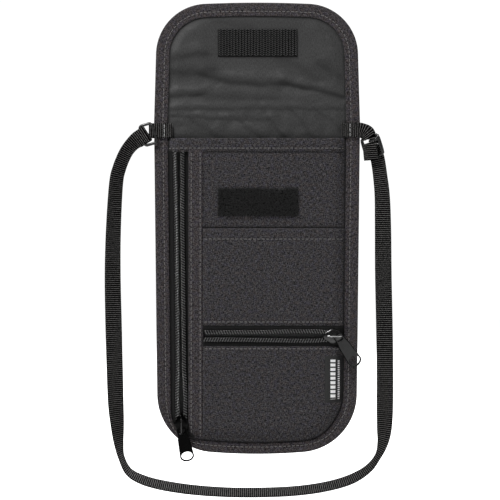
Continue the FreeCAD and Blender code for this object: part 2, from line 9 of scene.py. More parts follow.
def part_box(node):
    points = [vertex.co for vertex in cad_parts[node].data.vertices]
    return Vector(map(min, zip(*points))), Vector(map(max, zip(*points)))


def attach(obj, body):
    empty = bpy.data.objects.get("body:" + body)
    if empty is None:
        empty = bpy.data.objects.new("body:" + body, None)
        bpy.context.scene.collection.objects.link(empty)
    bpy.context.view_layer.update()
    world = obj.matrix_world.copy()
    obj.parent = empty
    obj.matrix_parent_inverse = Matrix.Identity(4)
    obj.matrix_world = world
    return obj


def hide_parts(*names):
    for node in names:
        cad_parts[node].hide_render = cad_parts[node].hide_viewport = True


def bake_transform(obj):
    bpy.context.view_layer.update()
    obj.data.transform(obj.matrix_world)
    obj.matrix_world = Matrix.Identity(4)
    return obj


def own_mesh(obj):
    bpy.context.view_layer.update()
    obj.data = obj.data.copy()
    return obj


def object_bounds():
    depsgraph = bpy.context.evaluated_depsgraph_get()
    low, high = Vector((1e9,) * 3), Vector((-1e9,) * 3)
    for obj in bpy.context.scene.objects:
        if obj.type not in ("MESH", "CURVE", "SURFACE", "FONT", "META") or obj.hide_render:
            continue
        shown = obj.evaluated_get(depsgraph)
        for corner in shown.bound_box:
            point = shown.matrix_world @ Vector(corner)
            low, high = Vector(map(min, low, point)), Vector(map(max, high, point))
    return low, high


# Neck pouch wallet, hanging with its flap open.
# Lengths are in mm until a piece is made, when they become metres.
# "Depth" is the distance forward of the pouch's back face, so depth = -y.

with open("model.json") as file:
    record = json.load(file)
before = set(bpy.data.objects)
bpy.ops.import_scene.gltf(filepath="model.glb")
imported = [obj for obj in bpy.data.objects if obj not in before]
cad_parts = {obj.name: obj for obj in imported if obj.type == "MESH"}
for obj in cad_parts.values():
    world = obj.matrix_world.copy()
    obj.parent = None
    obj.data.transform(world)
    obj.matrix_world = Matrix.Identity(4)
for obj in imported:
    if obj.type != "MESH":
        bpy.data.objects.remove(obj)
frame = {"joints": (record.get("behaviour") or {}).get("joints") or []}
CAD_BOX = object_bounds()
MM = 0.001
random.seed(11)


def box_mm(node):
    """Lowest and highest corner of a CAD node in mm."""
    low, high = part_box(node)
    return low / MM, high / MM


# ---- sizes taken from the frame ----
BODY_LOW = box_mm("body_binding")[0]
FLAP_LOW, FLAP_HIGH = box_mm("flap_binding")
HALF_WIDTH = FLAP_HIGH.x
FOLD_Z = FLAP_LOW.z
BODY_HEIGHT = FOLD_Z - BODY_LOW.z
FLAP_HEIGHT = FLAP_HIGH.z - FOLD_Z
BODY_TAPER, FLAP_TAPER = math.radians(0.65), math.radians(1.6)
BODY_CORNER_R, FLAP_CORNER_R = 40.0, 35.0
BODY_END_R, FLAP_END_R = 390.0, 780.0
INNER_LEFT_R = 18.0
BINDING_WIDTH = 9.3
BOTTOM_NARROWING = 1.9    # the binding takes a narrower hold along the bottom edge
BINDING_TOP = -BODY_LOW.y
FLAP_BINDING_TOP = -FLAP_LOW.y
CLOTH = 0.6

HEM_LOW, HEM_HIGH = box_mm("top_hem_band")
STRIP_LOW, STRIP_HIGH = box_mm("zip_strip")
SLIP_LOW, SLIP_HIGH = box_mm("slip_pocket_panel")
LOWER_LOW, LOWER_HIGH = box_mm("lower_pocket_panel")
LOOP_LOW, LOOP_HIGH = box_mm("loop_patch")
HOOK_LOW, HOOK_HIGH = box_mm("hook_patch")
LABEL_LOW, LABEL_HIGH = box_mm("woven_label")
SHEET_BOTTOM, SHEET_SIDE = -112.0, 72.0   # sheets reach this far and are then trimmed to the outline

# ---- heights of the layers above the back face ----
LINING_TOP = 1.65
FOOT_TOP = 2.3            # where front sheets are caught under the binding
LAPPED_FOOT = 2.9         # the same for sheets that lie on another one
FRONT_TOP = 6.8
HEM_TOP = 7.45
STRIP_TOP = 7.7
POCKET_TOP = 8.3
POCKET_LINING_TOP = 5.6

# ---- seams ----
HEM_STITCH_Z = HEM_LOW.z + 2.3
STRIP_STITCH_X = (STRIP_LOW.x + 1.8, STRIP_HIGH.x - 1.85)
SLIP_STITCH_Z = SLIP_HIGH.z - 7.3
WINDOW_STITCH_Z = (SLIP_LOW.z + 2.5, LOWER_HIGH.z - 1.7)
BINDING_STITCH = 6.1      # in from the outer edge
STITCH_PITCH = 3.0

# ---- zips, set out as in the frame ----
MAIN_ZIP_X = -52.28
MAIN_TAPE_TOP = 5.0
MAIN_SLIDER_Z = -93.0
CROSS_ZIP_Z = -32.6
CROSS_TAPE_TOP = 7.5
CROSS_SLIDER_X = 51.6
COIL_HALF = 1.6
COIL_PITCH = 1.8
PULLER_LENGTH = 22.0

# ---- strap ----
RING_LEAN = math.radians(17.0)
RING_CENTRE = sum(box_mm("strap_ring"), Vector()) / 2
ADJUSTER_CENTRE = sum(box_mm("strap_adjuster"), Vector()) / 2
RING_UP = Vector((-math.sin(RING_LEAN), 0, math.cos(RING_LEAN)))
RING_OUT = Vector((-math.cos(RING_LEAN), 0, -math.sin(RING_LEAN)))
ADJUSTER_ROLL = math.radians(38.0)
ADJ_SIDE = Vector((math.cos(RING_LEAN) * math.cos(ADJUSTER_ROLL), -math.sin(ADJUSTER_ROLL),
                   math.sin(RING_LEAN) * math.cos(ADJUSTER_ROLL)))
ADJ_BACK = RING_UP.cross(ADJ_SIDE)
BAR_R = 0.9
RING_BAR, ADJUSTER_BAR = 4.2, 7.1         # from each one's middle to the bar that its tab wraps
STRAP_WIDTH = 11.2
TAB_WIDTH = 10.0
RIB_PITCH = 1.35

FORWARD = Vector((0, -1, 0))
UP = Vector((0, 0, 1))


def at(x, depth, z):
    return Vector((x, -depth, z))


def clamp(value, low=0.0, high=1.0):
    return max(low, min(high, value))


def ease(t):
    t = clamp(t)
    return t * t * (3 - 2 * t)


def bell(distance, width):
    return math.exp(-(distance / width) ** 2)


def wander(x, z, size, seed=0.0):
    """Smooth noise between about -1 and 1 with features of the given size."""
    return noise.noise(Vector((x / size, z / size, seed)))


# ================================================================ outline
class Outline:
    """Rounded outline that starts at the fold line and runs away from it."""

    def __init__(self, direction, height, taper, corner_r, end_r, inner_left_r=None):
        self.direction = direction
        self.height = height
        self.taper = taper
        self.corner_r = corner_r
        self.end_r = end_r
        self.inner_left_r = inner_left_r
        self.known = {}

    def corner(self, inset, radius):
        """Middle of the corner arc, in (x, distance from the fold line)."""
        if (inset, radius) not in self.known:
            along = Vector((-math.sin(self.taper), math.cos(self.taper)))
            inward = Vector((-math.cos(self.taper), -math.sin(self.taper)))
            arc_middle = Vector((0, self.height - self.end_r))
            base = Vector((HALF_WIDTH, 0)) + inward * (inset + radius) - arc_middle
            reach = self.end_r - inset - radius
            half_b = base.dot(along)
            travel = -half_b + math.sqrt(half_b ** 2 - base.dot(base) + reach ** 2)
            self.known[(inset, radius)] = arc_middle + base + along * travel
        return self.known[(inset, radius)]

    def distance(self, x, z, inset):
        """How far a point lies inside the outline set `inset` in from the outer edge."""
        y = self.direction * (z - FOLD_Z)
        radius = self.corner_r - inset
        if x < 0 and self.inner_left_r and inset > 0:
            radius = self.inner_left_r
        x = abs(x)
        centre = self.corner(inset, radius)
        vx, vy = x - centre.x, y - centre.y
        side_x, side_y = math.cos(self.taper), math.sin(self.taper)
        end_x, end_y = centre.x, centre.y - (self.height - self.end_r)
        if side_x * vy - side_y * vx >= 0 and vx * end_y - vy * end_x >= 0:
            return radius - math.hypot(vx, vy)
        to_side = (HALF_WIDTH - x) * side_x - y * side_y - inset
        to_end = self.end_r - math.hypot(x, y - self.height + self.end_r) - inset
        return min(to_side, to_end)

    def half_edge(self, step):
        """Points and inward normals (x, z) of the right half, from the end's middle to the fold line."""
        centre = self.corner(0.0, self.corner_r)
        end_y = self.height - self.end_r
        join = math.atan2(centre.x, centre.y - end_y)
        arcs = [(Vector((0, end_y)), self.end_r, 0.0, join),
                (centre, self.corner_r, join, math.pi / 2 - self.taper)]
        found = []
        for middle, radius, first, last in arcs:
            count = max(2, round(radius * (last - first) / step))
            for i in range(count):
                a = first + (last - first) * i / count
                found.append((middle + Vector((math.sin(a), math.cos(a))) * radius, a))
        lean = math.pi / 2 - self.taper
        tangent = centre + Vector((math.sin(lean), math.cos(lean))) * self.corner_r
        fold = Vector((HALF_WIDTH, 0))
        count = round((tangent - fold).length / step)
        for i in range(count):
            found.append((tangent.lerp(fold, i / count), lean))
        return [(Vector((p.x, FOLD_Z + self.direction * p.y)),
                 Vector((-math.sin(a), -self.direction * math.cos(a)))) for p, a in found]


BODY = Outline(-1, BODY_HEIGHT, BODY_TAPER, BODY_CORNER_R, BODY_END_R, INNER_LEFT_R)
FLAP = Outline(1, FLAP_HEIGHT, FLAP_TAPER, FLAP_CORNER_R, FLAP_END_R)


def edge_distance(x, z, inset=0.0):
    return (BODY if z < FOLD_Z else FLAP).distance(x, z, inset)


def whole_edge(step):
    """Closed run of (point, inward normal) round the pouch and its flap, from the bottom's middle."""
    right = BODY.half_edge(step) + list(reversed(FLAP.half_edge(step)))
    left = [(Vector((-p.x, p.y)), Vector((-n.x, n.y))) for p, n in reversed(right[1:-1])]
    return right + left


# ================================================================ mesh building
def add_object(name, data):
    obj = bpy.data.objects.new(name, data)
    bpy.context.scene.collection.objects.link(obj)
    return obj


class Mesh:
    """Vertices, faces and UVs collected for one piece. UVs are in mm, so patterns keep their real scale."""

    def __init__(self):
        self.verts = []
        self.faces = []
        self.uvs = []
        self.shades = []

    def grid(self, rows, uv_rows, close_rows=False, close_ring=False, flip=False, caps=False):
        """Quads between rows of points; a row may close into a ring, and the rows into a loop."""
        base = len(self.verts)
        wide = len(rows[0])
        for row, uv_row in zip(rows, uv_rows):
            self.verts.extend(row)
            self.uvs.extend(uv_row)
        last_row = len(rows) if close_rows else len(rows) - 1
        last_col = wide if close_ring else wide - 1
        for i in range(last_row):
            a = base + i * wide
            b = base + ((i + 1) % len(rows)) * wide
            for j in range(last_col):
                k = (j + 1) % wide
                quad = (a + j, a + k, b + k, b + j)
                self.faces.append(quad[::-1] if flip else quad)
        if caps:
            first = tuple(range(base, base + wide))
            last = tuple(range(base + (len(rows) - 1) * wide, base + len(rows) * wide))
            self.faces.append(first if flip else first[::-1])
            self.faces.append(last[::-1] if flip else last)

    def tube(self, path, radius, sides, closed=False, squeeze=1.0):
        """Round tube along a path, of one radius or a list of them, carried along without twisting."""
        count = len(path)
        rows, uv_rows = [], []
        normal = None
        run = 0.0
        for i, point in enumerate(path):
            before = path[i - 1] if i or closed else path[0]
            after = path[(i + 1) % count] if i + 1 < count or closed else path[-1]
            along = (after - before).normalized()
            if normal is None:
                normal = along.orthogonal().normalized()
            normal = (normal - along * normal.dot(along)).normalized()
            other = along.cross(normal)
            if i:
                run += (point - path[i - 1]).length
            r = radius[i] if isinstance(radius, list) else radius
            angles = [2 * math.pi * k / sides for k in range(sides)]
            rows.append([point + normal * (math.cos(a) * r) + other * (math.sin(a) * r * squeeze)
                         for a in angles])
            uv_rows.append([(r * a, run) for a in angles])
        self.grid(rows, uv_rows, close_rows=closed, close_ring=True, caps=not closed)

    def piece(self, name, material):
        """Blender object of the collected mesh, in metres."""
        data = bpy.data.meshes.new(name)
        data.from_pydata([v * MM for v in self.verts], [], self.faces)
        layer = data.uv_layers.new(name="UVMap")
        corners = [0] * len(data.loops)
        data.loops.foreach_get("vertex_index", corners)
        flat = []
        for corner in corners:
            flat.extend(self.uvs[corner])
        layer.data.foreach_set("uv", flat)
        if self.shades:
            shade = data.attributes.new("shade", "FLOAT", "POINT")
            shade.data.foreach_set("value", self.shades)
        data.shade_smooth()
        data.materials.append(material)
        data.update()
        return add_object(name, data)


def thicken(obj, thickness):
    """Give a cloth sheet its thickness behind the modelled face."""
    solid = obj.modifiers.new("thickness", "SOLIDIFY")
    solid.thickness = thickness * MM
    solid.offset = -1.0
    return obj


def settle(obj, body, slot, *nodes):
    """Ride a piece on a CAD body (or fix it in place when the body is the fold) and let it stand for CAD
    nodes.
    """
    if nodes:
        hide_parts(*nodes)
    if body == "fold":
        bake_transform(obj)
    else:
        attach(obj, body)
    return obj


def even_places(path, step, least=1):
    """Evenly spaced places along a polyline, each as the span that it is on and its share of that span."""
    lengths = [0.0]
    for a, b in zip(path, path[1:]):
        lengths.append(lengths[-1] + (b - a).length)
    count = max(least, round(lengths[-1] / step))
    places, k = [], 0
    for i in range(count + 1):
        target = lengths[-1] * i / count
        while k < len(path) - 2 and lengths[k + 1] < target:
            k += 1
        span = lengths[k + 1] - lengths[k]
        places.append((k, clamp((target - lengths[k]) / span if span else 0)))
    return places


def resample(path, step):
    return [path[k].lerp(path[k + 1], t) for k, t in even_places(path, step)]


def spline(points, per_span):
    """Catmull-Rom curve through points of any dimension."""
    path = []
    for i in range(len(points) - 1):
        p0 = points[max(i - 1, 0)]
        p1, p2 = points[i], points[i + 1]
        p3 = points[min(i + 2, len(points) - 1)]
        for k in range(per_span):
            t = k / per_span
            path.append(0.5 * ((2 * p1) + (p2 - p0) * t + (2 * p0 - 5 * p1 + 4 * p2 - p3) * t * t
                               + (3 * p1 - p0 - 3 * p2 + p3) * t ** 3))
    path.append(points[-1].copy())
    return path


# ================================================================ materials
class Graph:
    """Small helper for building a node material on the Principled shader."""

    def __init__(self, name, **settings):
        self.material = bpy.data.materials.new(name)
        self.material.use_nodes = True
        self.tree = self.material.node_tree
        self.shader = self.tree.nodes["Principled BSDF"]
        for key, value in settings.items():
            self.shader.inputs[key.replace("_", " ")].default_value = value
        split = self.node("ShaderNodeSeparateXYZ", Vector=self.node("ShaderNodeUVMap").outputs["UV"])
        self.u, self.v = split.outputs["X"], split.outputs["Y"]

    def node(self, kind, props=None, **values):
        made = self.tree.nodes.new(kind)
        for key, value in (props or {}).items():
            setattr(made, key, value)
        for key, value in values.items():
            self.put(made.inputs[key.replace("_", " ")], value)
        return made

    def put(self, socket, value):
        if isinstance(value, bpy.types.NodeSocket):
            self.tree.links.new(value, socket)
        else:
            socket.default_value = value

    def math(self, operation, a, b=0.0, c=0.0):
        made = self.tree.nodes.new("ShaderNodeMath")
        made.operation = operation
        for i, value in enumerate((a, b, c)):
            self.put(made.inputs[i], value)
        return made.outputs[0]

    def mul_add(self, a, b, c):
        return self.math("MULTIPLY_ADD", a, b, c)

    def times(self, a, b):
        return self.math("MULTIPLY", a, b)

    def noise(self, per_u, per_v, detail=2.0, offset=0.0):
        """Noise over the UVs, with features about 1/per_u by 1/per_v mm."""
        place = self.node("ShaderNodeCombineXYZ", X=self.times(self.u, per_u),
                          Y=self.times(self.v, per_v), Z=offset)
        return self.node("ShaderNodeTexNoise", Vector=place.outputs[0], Scale=1.0, Detail=detail).outputs[0]

    def wave(self, value, pitch, phase=0.0):
        """Sine with the given pitch in mm."""
        return self.math("SINE", self.mul_add(value, 2 * math.pi / pitch, phase))

    def ramp(self, value, stops):
        made = self.node("ShaderNodeValToRGB", Fac=value)
        elements = made.color_ramp.elements
        while len(elements) < len(stops):
            elements.new(0.5)
        for element, (place, colour) in zip(elements, stops):
            element.position = place
            element.color = (*colour, 1.0)
        return made.outputs[0]

    def mix(self, share, a, b, blend="MIX"):
        made = self.node("ShaderNodeMix", {"data_type": "RGBA", "blend_type": blend})
        self.put(made.inputs[0], share)
        for i, value in ((6, a), (7, b)):
            self.put(made.inputs[i], value if isinstance(value, bpy.types.NodeSocket) else (*value, 1.0))
        return made.outputs[2]

    def bump(self, height, depth, strength):
        """Bump whose height runs over `depth` mm."""
        made = self.node("ShaderNodeBump", Height=height, Strength=strength, Distance=depth * MM)
        self.put(self.shader.inputs["Normal"], made.outputs[0])

    def colour(self, value):
        """Base colour, darkened by painted shade in the grooves that the mesh marks with its shade
        attribute.
        """
        shade = self.node("ShaderNodeAttribute", {"attribute_name": "shade"}).outputs["Fac"]
        value = self.mix(shade, value, (0.0, 0.0, 0.0))
        self.put(self.shader.inputs["Base Color"], value)

    def roughness(self, value):
        self.put(self.shader.inputs["Roughness"], value)


def grey(level, warm=0.0):
    """Dark or light neutral colour, a little reddish when `warm` is above 0."""
    return (level * (1 + warm), level, level * (1 - warm))


def melange(name, level, tint):
    """Plain-weave polyester of mixed yarns: fine threads, streaks both ways and a drifting tint."""
    g = Graph(name, Roughness=0.88, Specular_IOR_Level=0.22, Sheen_Weight=0.06, Sheen_Roughness=0.5)
    warp = g.noise(2.1, 0.45, 2.0, 1.0)
    weft = g.noise(0.45, 2.1, 2.0, 4.0)
    fleck = g.noise(2.0, 2.0, 1.0, 9.0)
    yarn = g.mul_add(g.math("ADD", warp, weft), 0.5, 0.0)
    yarn = g.mul_add(g.math("SUBTRACT", fleck, 0.5), 0.7, yarn)
    stops = [(0.40, [c * level * 0.05 for c in tint]), (0.5, [c * level for c in tint]),
             (0.60, [c * level * 3.0 for c in tint])]
    base = g.ramp(yarn, stops)
    drift = g.ramp(g.noise(0.35, 0.35, 2.0, 2.0), [(0.35, (0.96, 0.94, 1.12)), (0.5, (1.0, 1.0, 1.0)),
                                                  (0.65, (1.10, 0.98, 0.93))])
    g.colour(g.mix(1.0, base, drift, "MULTIPLY"))
    weave = g.times(g.wave(g.u, 0.9), g.wave(g.v, 0.9))
    height = g.mul_add(g.math("ADD", yarn, fleck), 1.4, weave)
    g.bump(height, 0.11, 0.8)
    return g.material


def lining_cloth():
    """Smooth satin-faced lining with a fine thread line."""
    g = Graph("lining_satin", Roughness=0.5, Specular_IOR_Level=0.3, Sheen_Weight=0.05)
    coarse = g.times(g.noise(1.5, 1.8, 2.0, 3.0), 0.5)
    threads = g.mul_add(g.noise(2.2, 0.5, 2.0), 0.5, coarse)
    g.colour(g.ramp(threads, [(0.36, grey(0.018)), (0.64, grey(0.05))]))
    g.roughness(g.mul_add(g.noise(0.1, 0.1, 3.0, 5.0), 0.2, 0.42))
    g.bump(g.mul_add(g.wave(g.v, 0.5), 0.4, threads), 0.05, 0.5)
    return g.material


def webbing_yarn():
    """Black polyester webbing. Ribs are in the mesh; the material adds the yarns that make each one, with
    painted shade in the grooves between ribs and a painted highlight on their crests.
    """
    g = Graph("webbing_yarn", Roughness=0.55, Specular_IOR_Level=0.35)
    yarns = g.noise(2.0, 1.1, 2.0)
    crest = g.mul_add(g.wave(g.v, RIB_PITCH, math.pi / 2), 0.5, 0.5)
    tone = g.mul_add(g.math("SUBTRACT", yarns, 0.5), 0.6, crest)
    # Yarn noise mixed with painted shade in the grooves and a painted highlight on the rib crests.
    g.colour(g.ramp(tone, [(0.66, grey(0.0)), (0.85, grey(0.009, 0.02)), (1.0, grey(0.14, 0.03))]))
    g.roughness(g.mul_add(crest, -0.25, 0.85))
    g.put(g.shader.inputs["Specular IOR Level"], g.times(crest, 0.25))
    g.bump(g.mul_add(g.wave(g.u, 0.62), 0.8, yarns), 0.12, 0.9)
    return g.material


def tape_twill():
    """Herringbone zip tape."""
    g = Graph("tape_twill", Roughness=0.75, Specular_IOR_Level=0.2)
    fold = g.math("PINGPONG", g.u, 1.6)
    lines = g.math("SINE", g.times(g.math("ADD", fold, g.v), 2 * math.pi / 0.9))
    tone = g.mul_add(lines, 0.16, g.noise(1.6, 1.6))
    g.colour(g.ramp(tone, [(0.25, grey(0.003)), (0.8, grey(0.013))]))
    g.bump(lines, 0.1, 0.8)
    return g.material


def gloss(name, level, roughness, metallic=0.0, coat=0.0, shine=0.5):
    """Smooth metal or nylon with faint rubbing marks and dulled patches."""
    g = Graph(name, Metallic=metallic, Coat_Weight=coat, Coat_Roughness=0.15, Specular_IOR_Level=shine)
    patches = g.noise(0.35, 0.35, 4.0)
    g.colour(g.ramp(patches, [(0.3, grey(level * 0.85)), (0.7, grey(level * 1.15))]))
    g.roughness(g.mul_add(patches, 0.25, roughness - 0.12))
    g.bump(g.noise(3.0, 3.0, 2.0, 3.0), 0.02, 0.4)
    return g.material


def thread(name, level, warm=0.0):
    """Twisted sewing thread."""
    g = Graph(name, Roughness=0.6, Specular_IOR_Level=0.3)
    twist = g.wave(g.math("ADD", g.u, g.v), 0.35)
    tone = g.mul_add(twist, 0.3, 0.5)
    g.colour(g.ramp(tone, [(0.2, grey(level * 0.7, warm)), (0.8, grey(level * 1.25, warm))]))
    g.bump(twist, 0.05, 0.8)
    return g.material


def fuzz(name, low, high):
    """Dark nylon of the hook and loop patches."""
    g = Graph(name, Roughness=0.7, Specular_IOR_Level=0.15)
    g.colour(g.ramp(g.noise(0.9, 0.9, 3.0), [(0.4, grey(low)), (0.6, grey(high))]))
    g.bump(g.noise(4.0, 4.0, 2.0, 2.0), 0.1, 0.8)
    return g.material


def label_weave():
    """Black woven label. Its only decoration is a band of plain dashes and a finer band of ticks."""
    g = Graph("label_weave", Roughness=0.55, Specular_IOR_Level=0.3)

    def band(value, middle, half):
        return g.math("LESS_THAN", g.math("ABSOLUTE", g.math("SUBTRACT", value, middle)), half)

    def marks(place, half, pitch, share):
        return g.times(band(g.u, place, half), g.math("GREATER_THAN", g.wave(g.v, pitch), share))

    dashes = marks(5.6, 1.7, 3.0, -0.55)
    ticks = marks(9.6, 0.7, 1.5, -0.2)
    stripe = g.times(g.math("MAXIMUM", dashes, ticks), band(g.v, 0.0, 13.4))
    rows = g.wave(g.v, 0.45)
    black = g.ramp(g.noise(1.2, 2.4), [(0.3, grey(0.007)), (0.7, grey(0.016))])
    g.colour(g.mix(stripe, black, g.ramp(rows, [(0.0, grey(0.7)), (0.8, grey(1.0))])))
    g.bump(g.math("ADD", rows, stripe), 0.08, 0.7)
    return g.material


CLOTH_MAT = melange("melange_cloth", 0.026, (1.03, 0.98, 1.04))
BINDING_MAT = melange("binding_cloth", 0.028, (1.08, 0.97, 1.02))
LINING_MAT = lining_cloth()
WEBBING_MAT = webbing_yarn()
TAPE_MAT = tape_twill()
COIL_MAT = gloss("coil_nylon", 0.055, 0.22, coat=0.5, shine=0.9)
# The cord's near-black, shineless colour also paints the shade in the gaps between the coil's strands.
CORD_AND_SHADE_MAT = gloss("coil_cord", 0.001, 0.9, shine=0.0)
MAIN_SLIDER_MAT = gloss("slider_black", 0.009, 0.2, metallic=1.0)
# The cross zip's slider is a lighter copy of the black slider metal: its grey is a painted reflection.
CROSS_SLIDER_REFLECTION_MAT = gloss("slider_grey_painted_reflection", 0.07, 0.25, metallic=1.0)
# The bridges take brighter copies of their sliders' metal: a painted highlight along each bridge.
MAIN_BRIDGE_HIGHLIGHT_MAT = gloss("bridge_black_painted_highlight", 0.05, 0.25, metallic=1.0)
CROSS_BRIDGE_HIGHLIGHT_MAT = gloss("bridge_painted_highlight", 0.4, 0.25, metallic=1.0)
MAIN_PULLER_MAT = gloss("puller_black", 0.001, 0.5, shine=0.05)
# Lighter copy of the black puller metal; its grey is a painted reflection.
CROSS_PULLER_REFLECTION_MAT = gloss("puller_grey_painted_reflection", 0.024, 0.42, shine=0.35)
RING_MAT = gloss("ring_nylon", 0.018, 0.3, coat=0.15)
ADJUSTER_MAT = gloss("adjuster_nylon", 0.008, 0.3, coat=0.1)
SEAM_THREAD = thread("thread_grey", 0.19, 0.03)
TAB_THREAD = thread("thread_light", 0.45)
DARK_THREAD = thread("thread_black", 0.02)
LOOP_MAT = fuzz("loop_pile", 0.0, 0.032)
HOOK_BASE_MAT = fuzz("hook_base", 0.0, 0.004)
HOOK_MAT = fuzz("hook_nylon", 0.03, 0.10)
LABEL_MAT = label_weave()


# ================================================================ cloth sheets
def side_at(side, z):
    """x of a sheet's side edge, which is a number or a function of the height."""
    return side(z) if callable(side) else side


def pulled_inside(x, z, gap, inset):
    """Move a point that is past the trimmed edge back onto it, against the slope of the distance."""
    reach = 0.1
    for _ in range(3):
        if gap < -0.01:
            slope = Vector((edge_distance(x + reach, z) - edge_distance(x - reach, z),
                            edge_distance(x, z + reach) - edge_distance(x, z - reach))) / (2 * reach)
            if slope.length < 0.2:
                break
            step_in = slope.normalized() * -gap
            x, z = x + step_in.x, z + step_in.y
            gap = edge_distance(x, z) - inset
    return x, z


def sheet(z0, z1, left, right, depth, step, inset=4.0, keep=None, flip=False, shade=None):
    """Cloth sheet between two heights. Its hidden rim stops `inset` in from the pouch's outer edge."""
    mesh = Mesh()
    span = z1 - z0
    rows = max(2, round(span / step)) + 1
    levels = [z0 + span * i / 8 for i in range(9)]
    widest = max(side_at(right, z) - side_at(left, z) for z in levels)
    cols = max(2, round(widest / step)) + 1
    points, inside = [], []
    for i in range(rows):
        z = z0 + span * i / (rows - 1)
        first, last = side_at(left, z), side_at(right, z)
        for j in range(cols):
            x = first + (last - first) * j / (cols - 1)
            gap = edge_distance(x, z) - inset
            points.append((x, z, gap))
            inside.append(gap >= 0 and (keep is None or keep(x, z)))
    faces, used = [], set()
    for i in range(rows - 1):
        for j in range(cols - 1):
            a = i * cols + j
            quad = (a, a + 1, a + cols + 1, a + cols)
            if any(inside[k] for k in quad):
                faces.append(quad[::-1] if flip else quad)
                used.update(quad)
    order = {k: n for n, k in enumerate(sorted(used))}
    for k in sorted(used):
        x, z = pulled_inside(*points[k], inset)
        mesh.verts.append(at(x, depth(x, z), z))
        mesh.uvs.append((x, z))
        mesh.shades.append(shade(x, z) if shade else rim_shade(inner_gap(x, z)))
    mesh.faces = [tuple(order[k] for k in face) for face in faces]
    return mesh


def rim_shade(gap, strength=0.8):
    """Shade in the ditch along the binding's inner edge."""
    return strength * bell(gap - 0.3, 0.9)


def inner_gap(x, z):
    """Distance in from the binding's inner edge, which comes closer to the outer edge along the bottom."""
    return edge_distance(x, z, BINDING_WIDTH) + BOTTOM_NARROWING * ease((-88 - z) / 16)


def rise(x, z, top, width, foot=FOOT_TOP - 0.1):
    """Depth of a front sheet that comes up from under the binding, leaving a narrow ditch along it."""
    t = clamp((inner_gap(x, z) - 0.5) / width)
    return foot + (top - foot) * (1 - (1 - t) ** 2.2)


def slope_width(z):
    """Plan width of the panels' sloping edges: gentle, but steeper beside the cross zip's firm tapes."""
    return 8.5 - 4.0 * bell(z - CROSS_ZIP_Z, 20) + 4.0 * ease((-70 - z) / 30)


def roll(gap, radius):
    """Drop of a folded edge, `gap` in from it."""
    if gap >= radius:
        return 0.0
    gap = max(gap, 0.0)
    return radius - math.sqrt(max(radius ** 2 - (radius - gap) ** 2, 0.0))


def seam(gap, run, depth=0.22, width=0.8):
    """Dip that a line of stitches pulls into the cloth, deepest where the needle went in."""
    return depth * bell(gap, width) * (0.7 + 0.3 * math.cos(2 * math.pi * run / STITCH_PITCH))


def rumple(x, z, height, size, fine_size, seed):
    """Broad, low unevenness with a finer one on it."""
    return height * wander(x, z, size, seed) + 0.05 * wander(x, z, fine_size, seed + 0.4)


def front_depth(x, z):
    height = rise(x, z, FRONT_TOP, slope_width(z))
    return height + 0.16 * wander(x, z, 26, 1.0) + 0.05 * wander(x, z, 6, 2.0)


def hem_depth(x, z):
    height = rise(x, z, HEM_TOP, slope_width(z))
    height -= roll(z - HEM_LOW.z, 0.5) + roll(HEM_HIGH.z - z, 0.7)
    height -= seam(z - HEM_STITCH_Z, x)
    return height + rumple(x, z, 0.1, 14, 3.5, 3.0)


def strip_depth(x, z):
    height = rise(x, z, STRIP_TOP, slope_width(z), LAPPED_FOOT)
    height -= roll(x - STRIP_LOW.x, 0.6) + roll(STRIP_HIGH.x - x, 0.45)
    for line in STRIP_STITCH_X:
        height -= seam(x - line, z)
    return height + rumple(x, z, 0.12, 18, 3.5, 4.0)


def slip_depth(x, z):
    height = rise(x, z, POCKET_TOP, slope_width(z), LAPPED_FOOT)
    height -= roll(SLIP_HIGH.z - z, 0.75) + roll(z - SLIP_LOW.z, 0.5) + 0.6 * bell(x - SLIP_LOW.x, 1.0)
    height -= seam(z - SLIP_STITCH_Z, x) + seam(z - WINDOW_STITCH_Z[0], x)
    sag = 0.25 * bell(z - SLIP_HIGH.z, 16) * (1 - (x / 60) ** 2)
    return height + sag + rumple(x, z, 0.2, 30, 5, 5.0)


def lower_depth(x, z):
    height = rise(x, z, POCKET_TOP, slope_width(z))
    height -= roll(LOWER_HIGH.z - z, 0.5) + 0.6 * bell(x - LOWER_LOW.x, 1.0)
    height -= seam(z - WINDOW_STITCH_Z[1], x)
    return height + rumple(x, z, 0.2, 30, 5, 6.0)


CREASE_DEPTH = 1.5
# Creases in the lining: start x and z, end x and z, sag of the middle, depth and width.
CREASES = [
    (-60, 155, -36, 159, 0.5, 0.55, 2.6),
    (-60, 146, -30, 149, -1.0, 0.6, 3.6),
    (-36, 145, 16, 140, -3.0, 0.75, 2.2),
    (20, 139, 61, 130, 0.5, 1.0, 1.4),
    (-61, 131, -40, 132, 0.0, 0.65, 1.5),
    (-40, 132, 10, 129, -1.0, 0.3, 2.2),
    (44, 152, 61, 141, 0.0, 0.5, 3.5),
    (16, 156, 40, 143, 1.5, 0.35, 4.0),
    (-60, 121, 61, 121.5, 0.8, 0.4, 1.2),
    (-58, 117, 6, 114.5, -0.6, 0.4, 1.1),
    (-26, 182, -6, 178, 0.0, 0.25, 3.0),
    (6, 118, 18, 103, 0.0, 0.4, 1.6),
    (24, 120, 36, 104, 1.0, 0.35, 1.5),
    (-12, 114, 2, 103, -1.0, 0.35, 1.5),
    (44, 118, 56, 108, 1.0, 0.35, 1.8),
    (-44, 113, -30, 104, 1.0, 0.35, 1.8),
]


